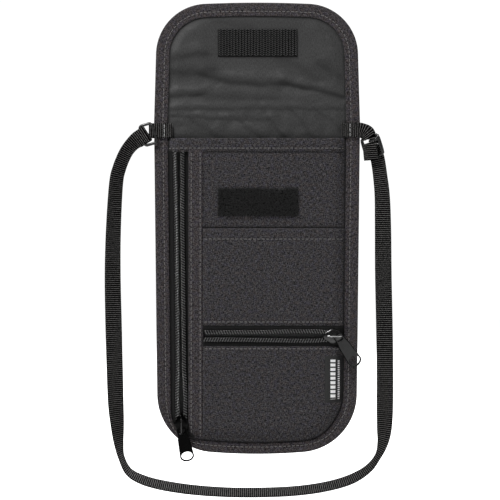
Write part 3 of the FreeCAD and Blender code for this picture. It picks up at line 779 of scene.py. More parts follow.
def crease(x, z):
    """Height and shade of the lining's soft creases: each one hangs over a sharp valley below it."""
    total, shade = 0.0, 0.0
    sharp, soft = 0.75, 3.4       # widths of the valley's two sides
    for x0, z0, x1, z1, sag, depth, width in CREASES:
        dx, dz = x1 - x0, z1 - z0
        length = math.hypot(dx, dz)
        t = ((x - x0) * dx + (z - z0) * dz) / length ** 2
        side = ((z - z0) * dx - (x - x0) * dz) / length - sag * 4 * clamp(t) * (1 - clamp(t))
        side += 0.8 * wander(x, z, 9, 8.0)
        beyond = max(0.0, -t, t - 1) * length
        share = bell(beyond, 5.0) * (0.75 + 0.25 * wander(x, z, 12, x0))
        valley = bell(side, (sharp if side > 0 else soft) * width)
        total += CREASE_DEPTH * share * depth * (0.8 * bell(side - 1.9 * width, 1.9 * width) - 0.8 * valley)
        shade += share * depth * bell(side, 0.9 * width)
    return total, clamp(shade, 0, 0.8)


PATCH_MIDDLE, PATCH_HALF = (0.3, 167.0), (27.0, 10.0)     # the lining lies flat under the hook patch
PATCH_EASE = 16.0


def lining_depth(x, z):
    e = edge_distance(x, z, BINDING_WIDTH)
    free = ease(e / 7)
    pocket = ease((z - 96) / 12)
    crumple = 0.6 * wander(x, z, 7, 21.0) * ease((126 - z) / 8) + 0.14 * wander(x, z, 3.5, 22.0)
    ripple = 0.4 * wander(x, z, 15, 7.0) + 0.22 * wander(x * 0.4, z, 5, 7.5) + crumple
    raised = 0.9 * free + crease(x, z)[0] * ease((e + 0.5) / 2.5) + ripple * free
    beside_patch = math.hypot(max(abs(x - PATCH_MIDDLE[0]) - PATCH_HALF[0], 0),
                              max(abs(z - PATCH_MIDDLE[1]) - PATCH_HALF[1], 0))
    under_patch = ease(1 - beside_patch / PATCH_EASE)
    raised = raised * (1 - under_patch) + 0.15 * under_patch
    return LINING_TOP + raised * pocket


def lining_shade(x, z):
    return max(rim_shade(edge_distance(x, z, BINDING_WIDTH), 0.75), 0.95 * crease(x, z)[1])


def shell_depth(x, z):
    """Back cloth: level with the binding's back leg inside it, and tucked under it at the edge."""
    e = edge_distance(x, z, BINDING_WIDTH)
    return 0.62 * (1 - ease((e + 0.6) / 1.6)) + 0.12 + 0.1 * wander(x, z, 24, 9.0)


def main_zip_x(z):
    """The upright zip's centre line, parallel to the left side."""
    return MAIN_ZIP_X - z * math.tan(BODY_TAPER)


def main_half_gap(z):
    """Half the gap between the upright zip's rows: a slight V, wide above the slider and meshed below it."""
    up = z - MAIN_SLIDER_Z
    if up < -4:
        return -0.35
    wide = 0.75 * bell(up - 19, 13) + 0.5 * ease((z - 40) / 55)
    return 0.45 + wide + 0.3 * bell(up - 4, 5) - 0.8 * ease((2 - up) / 6)


def tape_depth(x, z):
    return rise(x, z, MAIN_TAPE_TOP, 2.2) + 0.08 * wander(x, z, 9, 10.0)


def cross_tape_depth(x, z):
    return rise(x, z, CROSS_TAPE_TOP, slope_width(z)) + 0.05 * wander(x, z, 7, 11.0)


def tape_shade(x, z):
    """The tape is in the coil's shadow under the rows."""
    across = abs(x - main_zip_x(z)) - main_half_gap(z) - COIL_HALF
    return max(rim_shade(inner_gap(x, z), 0.75), 0.85 * (1 - ease((abs(across) - COIL_HALF) / 1.2)))


def cross_tape_shade(_, z):
    across = abs(z - CROSS_ZIP_Z) - 0.9 - COIL_HALF
    return 0.85 * (1 - ease((abs(across) - COIL_HALF) / 1.4))


def front_keep(x, z):
    """The front is cut away behind the cross zip's pocket."""
    return z > SLIP_LOW.z - 1 or x < STRIP_HIGH.x


def front_shade(x, z):
    """Painted shade: dark lines above the slip pocket's edge and under the hem."""
    behind_pocket = 0.95 * bell(z - SLIP_HIGH.z - 0.3, 0.9) if x > SLIP_LOW.x - 0.5 else 0.0
    return max(rim_shade(inner_gap(x, z)), behind_pocket, 0.8 * bell(z - HEM_LOW.z, 0.7))


def pocket_lining_depth(x, z):
    return POCKET_LINING_TOP + 0.1 * wander(x, z, 12)


def make_sheets():
    front = sheet(SHEET_BOTTOM, HEM_HIGH.z - 1.4, STRIP_LOW.x + 0.4, SHEET_SIDE, front_depth, 1.0,
                  keep=front_keep, shade=front_shade)
    hem = sheet(HEM_LOW.z, HEM_HIGH.z, -SHEET_SIDE, SHEET_SIDE, hem_depth, 0.75)
    strip = sheet(SHEET_BOTTOM, HEM_LOW.z + 1.5, STRIP_LOW.x, STRIP_HIGH.x, strip_depth, 0.6, inset=5.0)
    slip = sheet(SLIP_LOW.z, SLIP_HIGH.z, SLIP_LOW.x, SHEET_SIDE, slip_depth, 1.0)
    lower = sheet(SHEET_BOTTOM, LOWER_HIGH.z, LOWER_LOW.x, SHEET_SIDE, lower_depth, 1.0)
    low, high = box_mm("pocket_lining")
    rear = sheet(low.z, high.z, low.x, SHEET_SIDE, pocket_lining_depth, 2.5, inset=13.6)
    flap_top = FLAP_HIGH.z - 3
    lining = sheet(SHEET_BOTTOM, flap_top, -SHEET_SIDE, SHEET_SIDE, lining_depth, 1.0, shade=lining_shade)
    shell = sheet(SHEET_BOTTOM, flap_top, -SHEET_SIDE, SHEET_SIDE, shell_depth, 1.5, flip=True)
    cloth, satin = (CLOTH_MAT, "melange_cloth"), (LINING_MAT, "lining")
    for mesh, name, (material, slot), thickness, body, *nodes in (
            (front, "front_cloth", cloth, CLOTH, "pouch", "front_panel"),
            (hem, "mouth_hem", cloth, 1.2, "pouch", "top_hem_band"),
            (strip, "zip_edge_strip", (BINDING_MAT, "melange_cloth"), 0.7, "pouch", "zip_strip"),
            (slip, "slip_pocket", cloth, CLOTH, "pouch", "slip_pocket_panel"),
            (lower, "lower_pocket", cloth, CLOTH, "pouch", "lower_pocket_panel"),
            (rear, "zip_pocket_lining", satin, 0.3, "pouch", "pocket_lining"),
            (lining, "satin_lining", satin, 0.4, "fold", "back_lining", "flap_lining"),
            (shell, "outer_cloth", cloth, 0.5, "fold", "back_panel", "flap_outer")):
        settle(thicken(mesh.piece(name, material), thickness), body, slot, *nodes)


def make_tapes():
    tuck = 1.0                # how far the tape goes in under the coil row

    def left_end(z):
        return main_zip_x(z) - main_half_gap(z) - tuck

    def right_end(z):
        return main_zip_x(z) + main_half_gap(z) + tuck

    low, high = box_mm("main_zip_tape_left")[0].z, HEM_LOW.z + 1
    upright, level = (tape_depth, 0.9), (cross_tape_depth, 0.9)
    left = sheet(low, high, -SHEET_SIDE, left_end, *upright, inset=2.5, shade=tape_shade)
    right = sheet(low, high, right_end, -43.0, *upright, inset=6.0, shade=tape_shade)
    low, high = LOWER_HIGH.z - 3, SLIP_LOW.z + 3
    upper = sheet(CROSS_ZIP_Z + 1.2, high, SLIP_LOW.x, SHEET_SIDE, *level, shade=cross_tape_shade)
    lower = sheet(low, CROSS_ZIP_Z - 1.2, SLIP_LOW.x, SHEET_SIDE, *level, shade=cross_tape_shade)
    for mesh, name, node in ((left, "zip_tape_left", "main_zip_tape_left"),
                             (right, "zip_tape_right", "main_zip_tape_right"),
                             (upper, "pocket_tape_upper", "cross_zip_tape_upper"),
                             (lower, "pocket_tape_lower", "cross_zip_tape_lower")):
        settle(thicken(mesh.piece(name, TAPE_MAT), 0.55), "pouch", "zip_tape", node)


# ================================================================ binding
BINDING_FOLD_R = 1.1
# Dents in the binding beside the tabs: height, depth and width.
BINDING_DENTS = [(131.5, 0.4, 0.9), (119.0, 0.3, 0.8)]
FRONT_SEED, BACK_SEED = 20.0, 40.0


def front_leg_depth(z):
    """The binding's front face steps down from the pouch to the thinner flap."""
    return BINDING_TOP + (FLAP_BINDING_TOP - BINDING_TOP) * ease((z - 104) / 14)


def binding_width(point, normal):
    """Width of the front leg, narrower where the lower left corner's inner edge is tighter."""
    if point.y > -40:
        return BINDING_WIDTH
    low, high = 3.0, BINDING_WIDTH + 0.2
    for _ in range(18):
        middle = (low + high) / 2
        spot = point + normal * middle
        if inner_gap(spot.x, spot.y) > 0:
            high = middle
        else:
            low = middle
    return high


def binding_face(inset, width, run, top, seed):
    """Depth of a binding leg's face above its seat."""
    stitch = width * BINDING_STITCH / BINDING_WIDTH
    face = top + 0.12 * math.sin(math.pi * clamp(inset / width))
    face -= seam(inset - stitch, run, 0.34, 0.85)
    pucker = noise.noise(Vector((run / 2.4, inset / 9, seed)))
    return face + 0.11 * pucker + 0.1 * noise.noise(Vector((run / 9, inset / 9, seed + 5)))


def binding_section(width, top, run):
    """Outline (inset, depth) of the bound edge: back leg, round the outer edge, front leg."""
    radius = min(BINDING_FOLD_R, top / 2)
    hem = 0.35                # each leg's edge is folded in over this much
    section = [(BINDING_WIDTH + 0.05, 0.5), (BINDING_WIDTH, 0.12)]
    for k in range(14):
        inset = BINDING_WIDTH - hem - k * (BINDING_WIDTH - hem - radius) / 13
        section.append((inset, -binding_face(inset, BINDING_WIDTH, run, 0.0, BACK_SEED)))
    for k in range(1, 8):
        a = math.pi * k / 8
        middle = radius if a < math.pi / 2 else top - radius
        section.append((radius - radius * math.sin(a), middle - radius * math.cos(a)))
    for k in range(16):
        inset = radius + k * (width - hem - radius) / 15
        section.append((inset, binding_face(inset, width, run, top, FRONT_SEED)))
    return section + [(width, top - 0.12), (width + 0.05, top - 0.55)]


def make_binding():
    edge = whole_edge(0.75)
    rows, uv_rows = [], []
    run = 0.0
    thread_front, thread_back = [], []
    for i, (point, normal) in enumerate(edge):
        if i:
            run += (point - edge[i - 1][0]).length
        width = binding_width(point, normal)
        dents = sum(depth * bell(point.y - z, size) for z, depth, size in BINDING_DENTS)
        top = front_leg_depth(point.y) - dents
        section = binding_section(width, top, run)
        row, uv_row = [], []
        across = 0.0
        for k, (inset, depth) in enumerate(section):
            if k:
                across += math.hypot(inset - section[k - 1][0], depth - section[k - 1][1])
            spot = point + normal * inset
            row.append(at(spot.x, depth, spot.y))
            uv_row.append((across, run))
        rows.append(row)
        uv_rows.append(uv_row)
        stitch = width * BINDING_STITCH / BINDING_WIDTH
        spot = point + normal * stitch
        thread_front.append(at(spot.x, binding_face(stitch, width, run, top, FRONT_SEED), spot.y))
        spot = point + normal * BINDING_STITCH
        depth = -binding_face(BINDING_STITCH, BINDING_WIDTH, run, 0.0, BACK_SEED)
        thread_back.append(at(spot.x, depth, spot.y))
    mesh = Mesh()
    mesh.grid(rows, uv_rows, close_rows=True, flip=True)
    piece = thicken(mesh.piece("edge_binding", BINDING_MAT), 0.5)
    settle(piece, "fold", "binding_cloth", "body_binding", "flap_binding")
    stitches = Mesh()
    sew(stitches, thread_front + thread_front[:1], FORWARD)
    sew(stitches, thread_back + thread_back[:1], -FORWARD)
    settle(stitches.piece("binding_stitches", SEAM_THREAD), "fold", "binding_cloth")


# ================================================================ stitching
def sew(mesh, path, out, pitch=STITCH_PITCH, length=2.0, radius=0.25, lift=0.2):
    """Row of lock stitches along a path: each one comes out of the cloth, lies on it and goes back in."""
    per_stitch = 6
    fine = resample(path, pitch / per_stitch)
    for start in range(0, len(fine) - per_stitch + 1, per_stitch):
        a = fine[start]
        b = fine[min(start + per_stitch - 1, len(fine) - 1)]
        along = b - a
        if along.length < 1e-6:
            continue
        along = along.normalized() * length
        lean = Vector((random.uniform(-0.08, 0.08), 0, random.uniform(-0.08, 0.08)))
        needle_depth = 0.35
        knots = [a - out * needle_depth, a + along * 0.12 + out * lift * 0.6,
                 a + along * 0.5 + out * lift + lean,
                 a + along * 0.88 + out * lift * 0.6, a + along - out * needle_depth]
        mesh.tube(knots, [radius * 0.8, radius, radius, radius, radius * 0.8], sides=5)


def seam_line(x0, z0, x1, z1, depth):
    """Points along a straight seam on a sheet."""
    count = round(math.hypot(x1 - x0, z1 - z0) / 0.75)
    spots = [(x0 + (x1 - x0) * i / count, z0 + (z1 - z0) * i / count) for i in range(count + 1)]
    return [at(x, depth(x, z), z) for x, z in spots if edge_distance(x, z, BINDING_WIDTH) > 0.4]


def make_seams():
    mesh = Mesh()
    right, after_strip = 70, SLIP_LOW.x + 1
    seams = [(-62, HEM_STITCH_Z, right, HEM_STITCH_Z, hem_depth)]
    seams += [(line, HEM_LOW.z - 1.0, line, SHEET_BOTTOM, strip_depth) for line in STRIP_STITCH_X]
    seams += [(after_strip, z, right, z, depth) for z, depth in (
        (SLIP_STITCH_Z, slip_depth), (WINDOW_STITCH_Z[0], slip_depth), (WINDOW_STITCH_Z[1], lower_depth))]
    for line in seams:
        sew(mesh, seam_line(*line), FORWARD)
    settle(mesh.piece("front_stitches", SEAM_THREAD), "pouch", "melange_cloth")


# ================================================================ hook and loop
def rounded_patch(low, high, seat, top, wobble):
    """Low pad with softened edges; `wobble` gives its surface."""
    mesh = Mesh()
    step = 0.8
    cols = round((high.x - low.x) / step)
    rows = round((high.z - low.z) / step)
    across = [low.x + (high.x - low.x) * j / cols for j in range(cols + 1)]
    upward = [low.z + (high.z - low.z) * i / rows for i in range(rows + 1)]

    def spot(x, z):
        rim = min(x - low.x, high.x - x, z - low.z, high.z - z)
        rounding = 1 - (1 - clamp(rim / 0.8)) ** 2
        return at(x, seat + (top - seat) * rounding + wobble(x, z) * clamp(rim), z)

    mesh.grid([[spot(x, z) for x in across] for z in upward], [[(x, z) for x in across] for z in upward])
    return mesh


def make_loop_patch():
    """Knitted loop side: a base cloth under a pile of small random loops."""
    low, high = LOOP_LOW, LOOP_HIGH
    base_top, loops, margin = 7.6, 1500, 0.1
    mesh = rounded_patch(low, high, FRONT_TOP + 0.1, base_top, lambda x, z: 0.15 * wander(x, z, 2.0, 12.0))
    for _ in range(loops):
        x = random.uniform(low.x + margin, high.x - margin)
        z = random.uniform(low.z + margin, high.z - margin)
        turn = random.uniform(0, math.pi)
        wide = random.uniform(0.5, 1.1)
        tall = random.uniform(0.45, 0.85)
        across = Vector((math.cos(turn), 0, math.sin(turn)))
        lean = Vector((random.uniform(-0.4, 0.4), 0, random.uniform(-0.4, 0.4)))
        foot = at(x, base_top - 0.1, z)
        rise_to = FORWARD * tall + lean
        arc = [math.pi * k / 5 for k in range(6)]
        mesh.tube([foot + across * (math.cos(a) * wide) + rise_to * math.sin(a) for a in arc], 0.17, sides=4)
    settle(mesh.piece("loop_pile_patch", LOOP_MAT), "pouch", "hook_and_loop", "loop_patch")


def make_hook_patch():
    """Hook side: woven tape with plain selvedges and columns of hooks leaning alternate ways."""
    low, high = HOOK_LOW, HOOK_HIGH
    base_top = 2.3
    base = rounded_patch(low, high, LINING_TOP - 0.4, base_top, lambda x, z: 0.04 * math.sin(z * 7.0))
    settle(base.piece("hook_tape_base", HOOK_BASE_MAT), "flap", "hook_and_loop")
    mesh = Mesh()
    column, level, selvedge = 2.0, 1.3, 1.7
    for i in range(round((high.x - low.x - 2 * selvedge) / column) + 1):
        x = low.x + selvedge + i * column
        side = 1 if i % 2 else -1
        reach = Vector((side * 1.3, 0, 0.85))
        for j in range(round((high.z - low.z - 2 * selvedge) / level) + 1):
            z = low.z + selvedge + j * level + random.uniform(-0.08, 0.08)
            foot = at(x - side * 0.75, base_top - 0.1, z - 0.4)
            hook = [foot] + [foot + reach * out + FORWARD * up for out, up in (
                (0.15, 0.5), (0.5, 0.85), (0.95, 0.8), (1.1, 0.45))]
            mesh.tube(hook, [0.24, 0.24, 0.23, 0.2, 0.14], sides=5)
    settle(mesh.piece("hook_tape_patch", HOOK_MAT), "flap", "hook_and_loop", "hook_patch")
    border = Mesh()
    inset = 1.1
    x0, x1, z0, z1 = low.x + inset, high.x - inset, low.z + inset, high.z - inset
    corners = [at(x, base_top, z) for x, z in ((x0, z0), (x1, z0), (x1, z1), (x0, z1), (x0, z0))]
    for a, b in zip(corners, corners[1:]):
        sew(border, [a, b], FORWARD, pitch=2.6, length=1.8, radius=0.16)
    settle(border.piece("hook_patch_stitches", DARK_THREAD), "flap", "hook_and_loop")


def make_label():
    """Folded woven label caught in the side seam."""
    low, high = LABEL_LOW, LABEL_HIGH
    middle = (low.z + high.z) / 2

    def depth(x, z):
        corner = roll(x - low.x, 0.35) + roll(high.z - z, 0.25) + roll(z - low.z, 0.25)
        curl = 0.12 * bell(x - low.x, 3) * math.sin(z * 0.35)
        return lower_depth(x, z) + 0.42 - corner + curl

    mesh = sheet(low.z, high.z, low.x, SHEET_SIDE, depth, 0.8)
    mesh.uvs = [(u - low.x, v - middle) for u, v in mesh.uvs]
    settle(thicken(mesh.piece("side_label", LABEL_MAT), 0.35), "pouch", "label", "woven_label")


# ================================================================ zip coils
COIL_RISE = 0.95          # the rows' middle above the tape
CORD_SECTION = [(math.cos(math.pi * k / 5), math.sin(math.pi * k / 5)) for k in range(10)]


def coil_row(name, node, centre, across, side, start, end):
    """Flattened spiral of nylon round a cord. `centre(w)` is the row's middle at w along the zip."""
    if side > 0:
        start += COIL_PITCH / 2
    per_turn = 14
    path = []
    for k in range(int((end - start) / COIL_PITCH * per_turn) + 1):
        a = 2 * math.pi * k / per_turn
        w = start + COIL_PITCH * k / per_turn
        slant = -0.3 * math.cos(a)
        flat = abs(math.sin(a)) ** 0.7 * math.copysign(1, math.sin(a))
        path.append(centre(w + slant) + across * (1.24 * side * math.cos(a)) + FORWARD * (0.5 * flat))
    coil = Mesh()
    coil.tube(path, 0.4, sides=6)
    # Near-black cord inside the coil; it also serves as painted shade between the strands.
    cord = Mesh()
    stops = round((end - start) / 4)
    middle = [centre(start + (end - start) * k / stops) for k in range(stops + 1)]
    cord.grid([[p + across * (1.5 * c) + FORWARD * (0.25 * s) for c, s in CORD_SECTION] for p in middle],
              [CORD_SECTION for _ in middle], close_ring=True)
    for mesh, piece_name, material, nodes in ((coil, name, COIL_MAT, [node]),
                                              (cord, name.replace("coil", "cord"), CORD_AND_SHADE_MAT, [])):
        piece = settle(mesh.piece(piece_name, material), "pouch", "zip_coil", *nodes)
        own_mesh(piece)


def make_coils():
    lean = Vector((math.cos(BODY_TAPER), 0, math.sin(BODY_TAPER)))
    bottom = box_mm("main_zip_coil_right")[0].z + 1.5
    for side, hand in ((-1, "left"), (1, "right")):
        def upright(w):
            middle = at(main_zip_x(w), MAIN_TAPE_TOP + COIL_RISE, w)
            return middle + lean * (side * (main_half_gap(w) + COIL_HALF))
        coil_row("zip_coil_" + hand, "main_zip_coil_" + hand, upright, lean, side, bottom,
                 HEM_LOW.z + 0.6)
    low, high = box_mm("cross_zip_coil_upper")
    for side, hand in ((1, "upper"), (-1, "lower")):
        def level(w):
            spread = 0.75 * ease((w + 20) / 55) * (1 - ease((w - 38) / 12)) + 0.25
            return at(w, CROSS_TAPE_TOP + COIL_RISE, CROSS_ZIP_Z + side * (0.55 + spread + COIL_HALF))
        coil_row("pocket_coil_" + hand, "cross_zip_coil_" + hand, level, UP, side,
                 low.x + 0.6, high.x)


# ================================================================ sliders and pullers
def teardrop(circles, count=40):
    """Outline (across, along) of the hull round a row of circles set along the zip."""
    points = []
    for k in range(count):
        a = 2 * math.pi * k / count
        direction = Vector((math.cos(a), math.sin(a)))
        w, r = max(circles, key=lambda c: c[0] * direction.y + c[1])
        points.append(Vector((r * direction.x, w + r * direction.y)))
    return points


def plate(mesh, outline, levels, place):
    """Closed plate from scaled copies of an outline: (scale, height) from the bottom to the top."""
    middle = sum(outline, Vector((0, 0))) / len(outline)
    rows, uv_rows = [], []
    for scale, height in levels:
        row = [middle + (p - middle) * max(scale, 0.001) for p in outline]
        rows.append([place(p.x, height, p.y) for p in row])
        uv_rows.append([(p.x, p.y) for p in row])
    mesh.grid(rows, uv_rows, close_ring=True)


def slider_mesh(place, tape_top):
    """Slider: domed top plate, side guides, bottom plate, divider and bridge. Its nose is at +w."""
    mesh = Mesh()
    t = tape_top
    plates = (
        (teardrop([(-3.4, 2.8), (0.4, 4.6), (3.6, 3.0)]),
         [(0, 1.95), (0.9, 1.95), (1.0, 2.05), (1.02, 2.3), (0.97, 2.62), (0.86, 2.82), (0.6, 3.0),
          (0.3, 3.08), (0, 3.1)]),
        (teardrop([(-1.6, 1.8), (1.6, 3.8), (4.6, 1.2)]),
         [(0, -1.55), (0.9, -1.55), (1.0, -1.35), (1.0, -0.85), (0.92, -0.65), (0, -0.65)]),
        (teardrop([(3.4, 0.4), (4.6, 0.4)], 16), [(0, -0.8), (1, -0.8), (1, 1.9), (0, 1.9)]))
    for outline, levels in plates:
        plate(mesh, outline, [(scale, t + height) for scale, height in levels], place)
    guide = [(2.75, 2.2, -4.2), (3.3, 1.9, -2.6), (4.25, 1.6, -0.8), (4.5, 1.5, 0.8), (3.7, 1.7, 2.6),
             (2.7, 2.1, 4.0)]
    for side in (-1, 1):
        mesh.tube(spline([place(side * u, t + h, w) for u, h, w in guide], 5), 0.62, sides=8)
    beam = [(2.6, -5.3), (3.6, -5.35), (4.35, -4.7), (4.6, -3.4), (4.62, -0.5), (4.5, 2.2), (4.05, 3.8),
            (2.9, 4.45)]
    # The bridge is its own piece so that it can take the brighter metal of a painted highlight.
    bridge = Mesh()
    bridge.tube(spline([place(0, t + h, w) for h, w in beam], 5), 0.72, sides=10, squeeze=0.8)
    return mesh, bridge


HOLE_MIDDLE = -PULLER_LENGTH + 3.6


def puller_outline():
    """Outer edge of the puller (across, along): down one side, round the tip and back up."""
    half_width, reach, count = 4.75, 3.7, 14
    side = [(1.6, 0.95), (2.6, 0.75), (3.15, 0.1), (3.2, -1.5), (3.15, -3.4), (3.3, -4.6), (3.7, -6.2),
            (4.0, -9.0), (4.25, -13.0), (4.45, -16.5)]
    angles = [math.pi * k / count for k in range(1, count)]
    tip = [(half_width * math.cos(a), HOLE_MIDDLE - reach * math.sin(a)) for a in angles]
    return [Vector(p) for p in side + tip + [(-x, y) for x, y in reversed(side)]]


def oval(half_x, half_y, centre_y, square=2.0):
    points, count = [], 28
    for k in range(count):
        a = 2 * math.pi * k / count
        c, s = math.cos(a), math.sin(a)
        x = math.copysign(abs(c) ** (2 / square), c) * half_x
        y = math.copysign(abs(s) ** (2 / square), s) * half_y
        points.append(Vector((x, centre_y + y)))
    return points


def flat_shape(outlines):
    """Thin plate with rounded edges, filled between its outer outline and its holes."""
    curve = bpy.data.curves.new("outline", "CURVE")
    curve.dimensions = "2D"
    curve.fill_mode = "BOTH"
    for outline in outlines:
        line = curve.splines.new("POLY")
        line.points.add(len(outline) - 1)
        for point, p in zip(line.points, outline):
            point.co = (p.x * MM, p.y * MM, 0, 1)
        line.use_cyclic_u = True
    curve.extrude = 0.33 * MM
    curve.bevel_depth = 0.16 * MM
    curve.bevel_resolution = 2
    maker = add_object("maker", curve)
    bpy.context.view_layer.update()
    flat = bpy.data.meshes.new_from_object(maker.evaluated_get(bpy.context.evaluated_depsgraph_get()))
    bpy.data.objects.remove(maker)
    mesh = Mesh()
    mesh.verts = [Vector((v.co.x, v.co.z, v.co.y)) / MM for v in flat.vertices]
    mesh.uvs = [(v.co.x / MM, v.co.y / MM) for v in flat.vertices]
    mesh.faces = [tuple(reversed(face.vertices)) for face in flat.polygons]
    bpy.data.meshes.remove(flat)
    return mesh


def puller_piece(name, material, matrix):
    """Flat puller with an eye round its crossbar and an oval finger hole, and the raised rim round it."""
    hole = oval(3.95, 2.9, HOLE_MIDDLE)
    eye = oval(2.45, 1.95, -2.0, square=3.5)
    mesh = flat_shape([puller_outline(), hole, eye])
    rim = [p * 0.97 if p.y > -PULLER_LENGTH + 3 else Vector((p.x * 0.95, p.y + 0.2))
           for p in puller_outline()]
    rim = resample([Vector((p.x, 0, p.y)) for p in rim + rim[:1]], 0.8)[:-1]
    crossbar = [Vector((x, 0, 0)) for x in (-3.0, -1.5, 0, 1.5, 3.0)]
    mesh.tube(crossbar, 0.58, sides=10)
    border = Mesh()
    for face in (-0.36, 0.36):
        border.tube([p + Vector((0, face, 0)) for p in rim], 0.3, sides=6, closed=True)
    for part in (mesh, border):
        part.verts = [matrix @ v for v in part.verts]
    piece = mesh.piece(name, material)
    edges = piece.modifiers.new("edges", "EDGE_SPLIT")
    edges.split_angle = math.radians(40)
    return piece, border.piece(name + "_rim", MAIN_PULLER_MAT)


def make_sliders():
    lean = Matrix.Rotation(-BODY_TAPER, 4, "Y")
    origin = Vector((MAIN_ZIP_X, 0, 0))

    def upright(across, depth, w):
        return origin + lean @ at(across, depth, w + MAIN_SLIDER_Z)

    def level(across, depth, w):
        return at(CROSS_SLIDER_X - w, depth, CROSS_ZIP_Z + across)

    for name, zip_name, place, tape_top, material, highlight_material in (
            ("zip", "main", upright, MAIN_TAPE_TOP, MAIN_SLIDER_MAT, MAIN_BRIDGE_HIGHLIGHT_MAT),
            ("pocket", "cross", level, CROSS_TAPE_TOP, CROSS_SLIDER_REFLECTION_MAT, CROSS_BRIDGE_HIGHLIGHT_MAT)):
        body = zip_name + "_slider"
        slider, bridge = slider_mesh(place, tape_top)
        settle(slider.piece(name + "_slider", material), body, "slider_metal", zip_name + "_zip_slider")
        settle(bridge.piece(name + "_slider_bridge", highlight_material), body, "slider_metal")
    joints = {joint["name"]: joint for joint in frame["joints"]}
    for name, zip_name, degrees, stretch, material in (
            ("zip_puller", "main", -11.65, 1.0, MAIN_PULLER_MAT),
            ("pocket_puller", "cross", -34.0, 1.08, CROSS_PULLER_REFLECTION_MAT)):
        joint = joints[zip_name + "_puller_flip"]
        pivot = Vector(joint["pos_m"]) / MM
        matrix = Matrix.Translation(pivot) @ Matrix.Rotation(math.radians(degrees), 4, "Y")
        matrix = matrix @ Matrix.Diagonal((1.0, 1.0, stretch, 1.0))
        piece, border = puller_piece(name, material, matrix)
        settle(piece, joint["child"], "puller_metal", zip_name + "_zip_puller")
        settle(border, joint["child"], "puller_metal")


# ================================================================ strap hardware
def rounded_loop(half_a, half_b, radius, place):
    """Closed run of points round a rectangle with rounded corners."""
    points, per_corner = [], 7
    for a_sign, b_sign, first in ((1, 1, 0), (-1, 1, 90), (-1, -1, 180), (1, -1, 270)):
        for k in range(per_corner + 1):
            angle = math.radians(first + 90 * k / per_corner)
            a = a_sign * (half_a - radius) + radius * math.cos(angle)
            b = b_sign * (half_b - radius) + radius * math.sin(angle)
            points.append(place(a, b))
    return resample(points + points[:1], 0.7)[:-1]


def ring_spot(out, up):
    return RING_CENTRE + RING_OUT * out + RING_UP * up


def adjuster_spot(side, back, up):
    return ADJUSTER_CENTRE + ADJ_SIDE * side + ADJ_BACK * back + RING_UP * up


def make_hardware():
    ring = Mesh()
    ring.tube(rounded_loop(RING_BAR, 6.9, 1.8, ring_spot), 1.0, sides=14, closed=True)
    settle(ring.piece("webbing_ring", RING_MAT), "strap", "hardware", "strap_ring")

    slide = Mesh()
    frame_loop = rounded_loop(6.65, ADJUSTER_BAR, 1.6, lambda side, up: adjuster_spot(side, 0, up))
    slide.tube(frame_loop, 0.92, sides=14, closed=True)
    for side in (-1, 1):
        rail = [adjuster_spot(side * 6.75, 0, up) for up in (-6.6, -4, -1.5, 1.5, 4, 6.6)]
        slide.tube(rail, [0.9, 1.15, 1.2, 1.2, 1.15, 0.9], sides=12)
    slide.tube([adjuster_spot(side, 0, 0.4) for side in (-6.6, -3, 0, 3, 6.6)], BAR_R, sides=12)
    web = [adjuster_spot(side, 0, 4.1) for side in (-1.6, -0.9, 1, 3, 6.6)]
    slide.tube(web, [0.3, 0.9, 1.25, 1.3, 1.3], sides=12)
    settle(slide.piece("webbing_slide", ADJUSTER_MAT), "strap", "hardware", "strap_adjuster")


# ================================================================ webbing
def webbing(name, points, width, thickness):
    """Ribbed webbing through (centre, width direction) points, with six rows of vertices to each rib."""
    half = width / 2
    steps = 12
    across_face = [-half + width * k / steps for k in range(steps + 1)]
    section = [(across, 1) for across in across_face] + [(-across, -1) for across in across_face]
    stations = stations_from(points, RIB_PITCH / 6)
    rows, uv_rows = [], []
    for i, (centre, wide, face) in enumerate(stations):
        phase = i / 6
        rib = 0.5 + 0.5 * math.cos(2 * math.pi * phase)
        row, uv_row = [], []
        for across, side in section:
            share = abs(across) / half
            selvedge = 0.1 * bell(share - 0.9, 0.1) - 0.06 * bell(share - 0.76, 0.06)
            groove = (1 - rib) ** 2 * 0.3 * (1 - 0.6 * bell(share - 0.92, 0.12))
            height = thickness / 2 + selvedge - groove
            if share > 0.98:
                height *= 0.35
            wobble = 0.06 * math.sin(phase * 2 * math.pi + 1) if share > 0.98 else 0.0
            row.append(centre + wide * (across + math.copysign(wobble, across)) + face * (side * height))
            uv_row.append((across, i * RIB_PITCH / 6))
        rows.append(row)
        uv_rows.append(uv_row)
    mesh = Mesh()
    mesh.grid(rows, uv_rows, close_ring=True, caps=True, flip=True)
    return mesh.piece(name, WEBBING_MAT)


def stations_from(points, step):
    """Evenly spaced (centre, width direction, face direction) from (centre, width direction) points."""
    centres = spline([p for p, _ in points], 16)
    widths = spline([w for _, w in points], 16)
    found = []
    for k, t in even_places(centres, step, 6):
        along = (centres[k + 1] - centres[k]).normalized()
        wide = widths[k].lerp(widths[k + 1], t)
        wide = (wide - along * wide.dot(along)).normalized()
        found.append((centres[k].lerp(centres[k + 1], t), wide, along.cross(wide).normalized()))
    return found


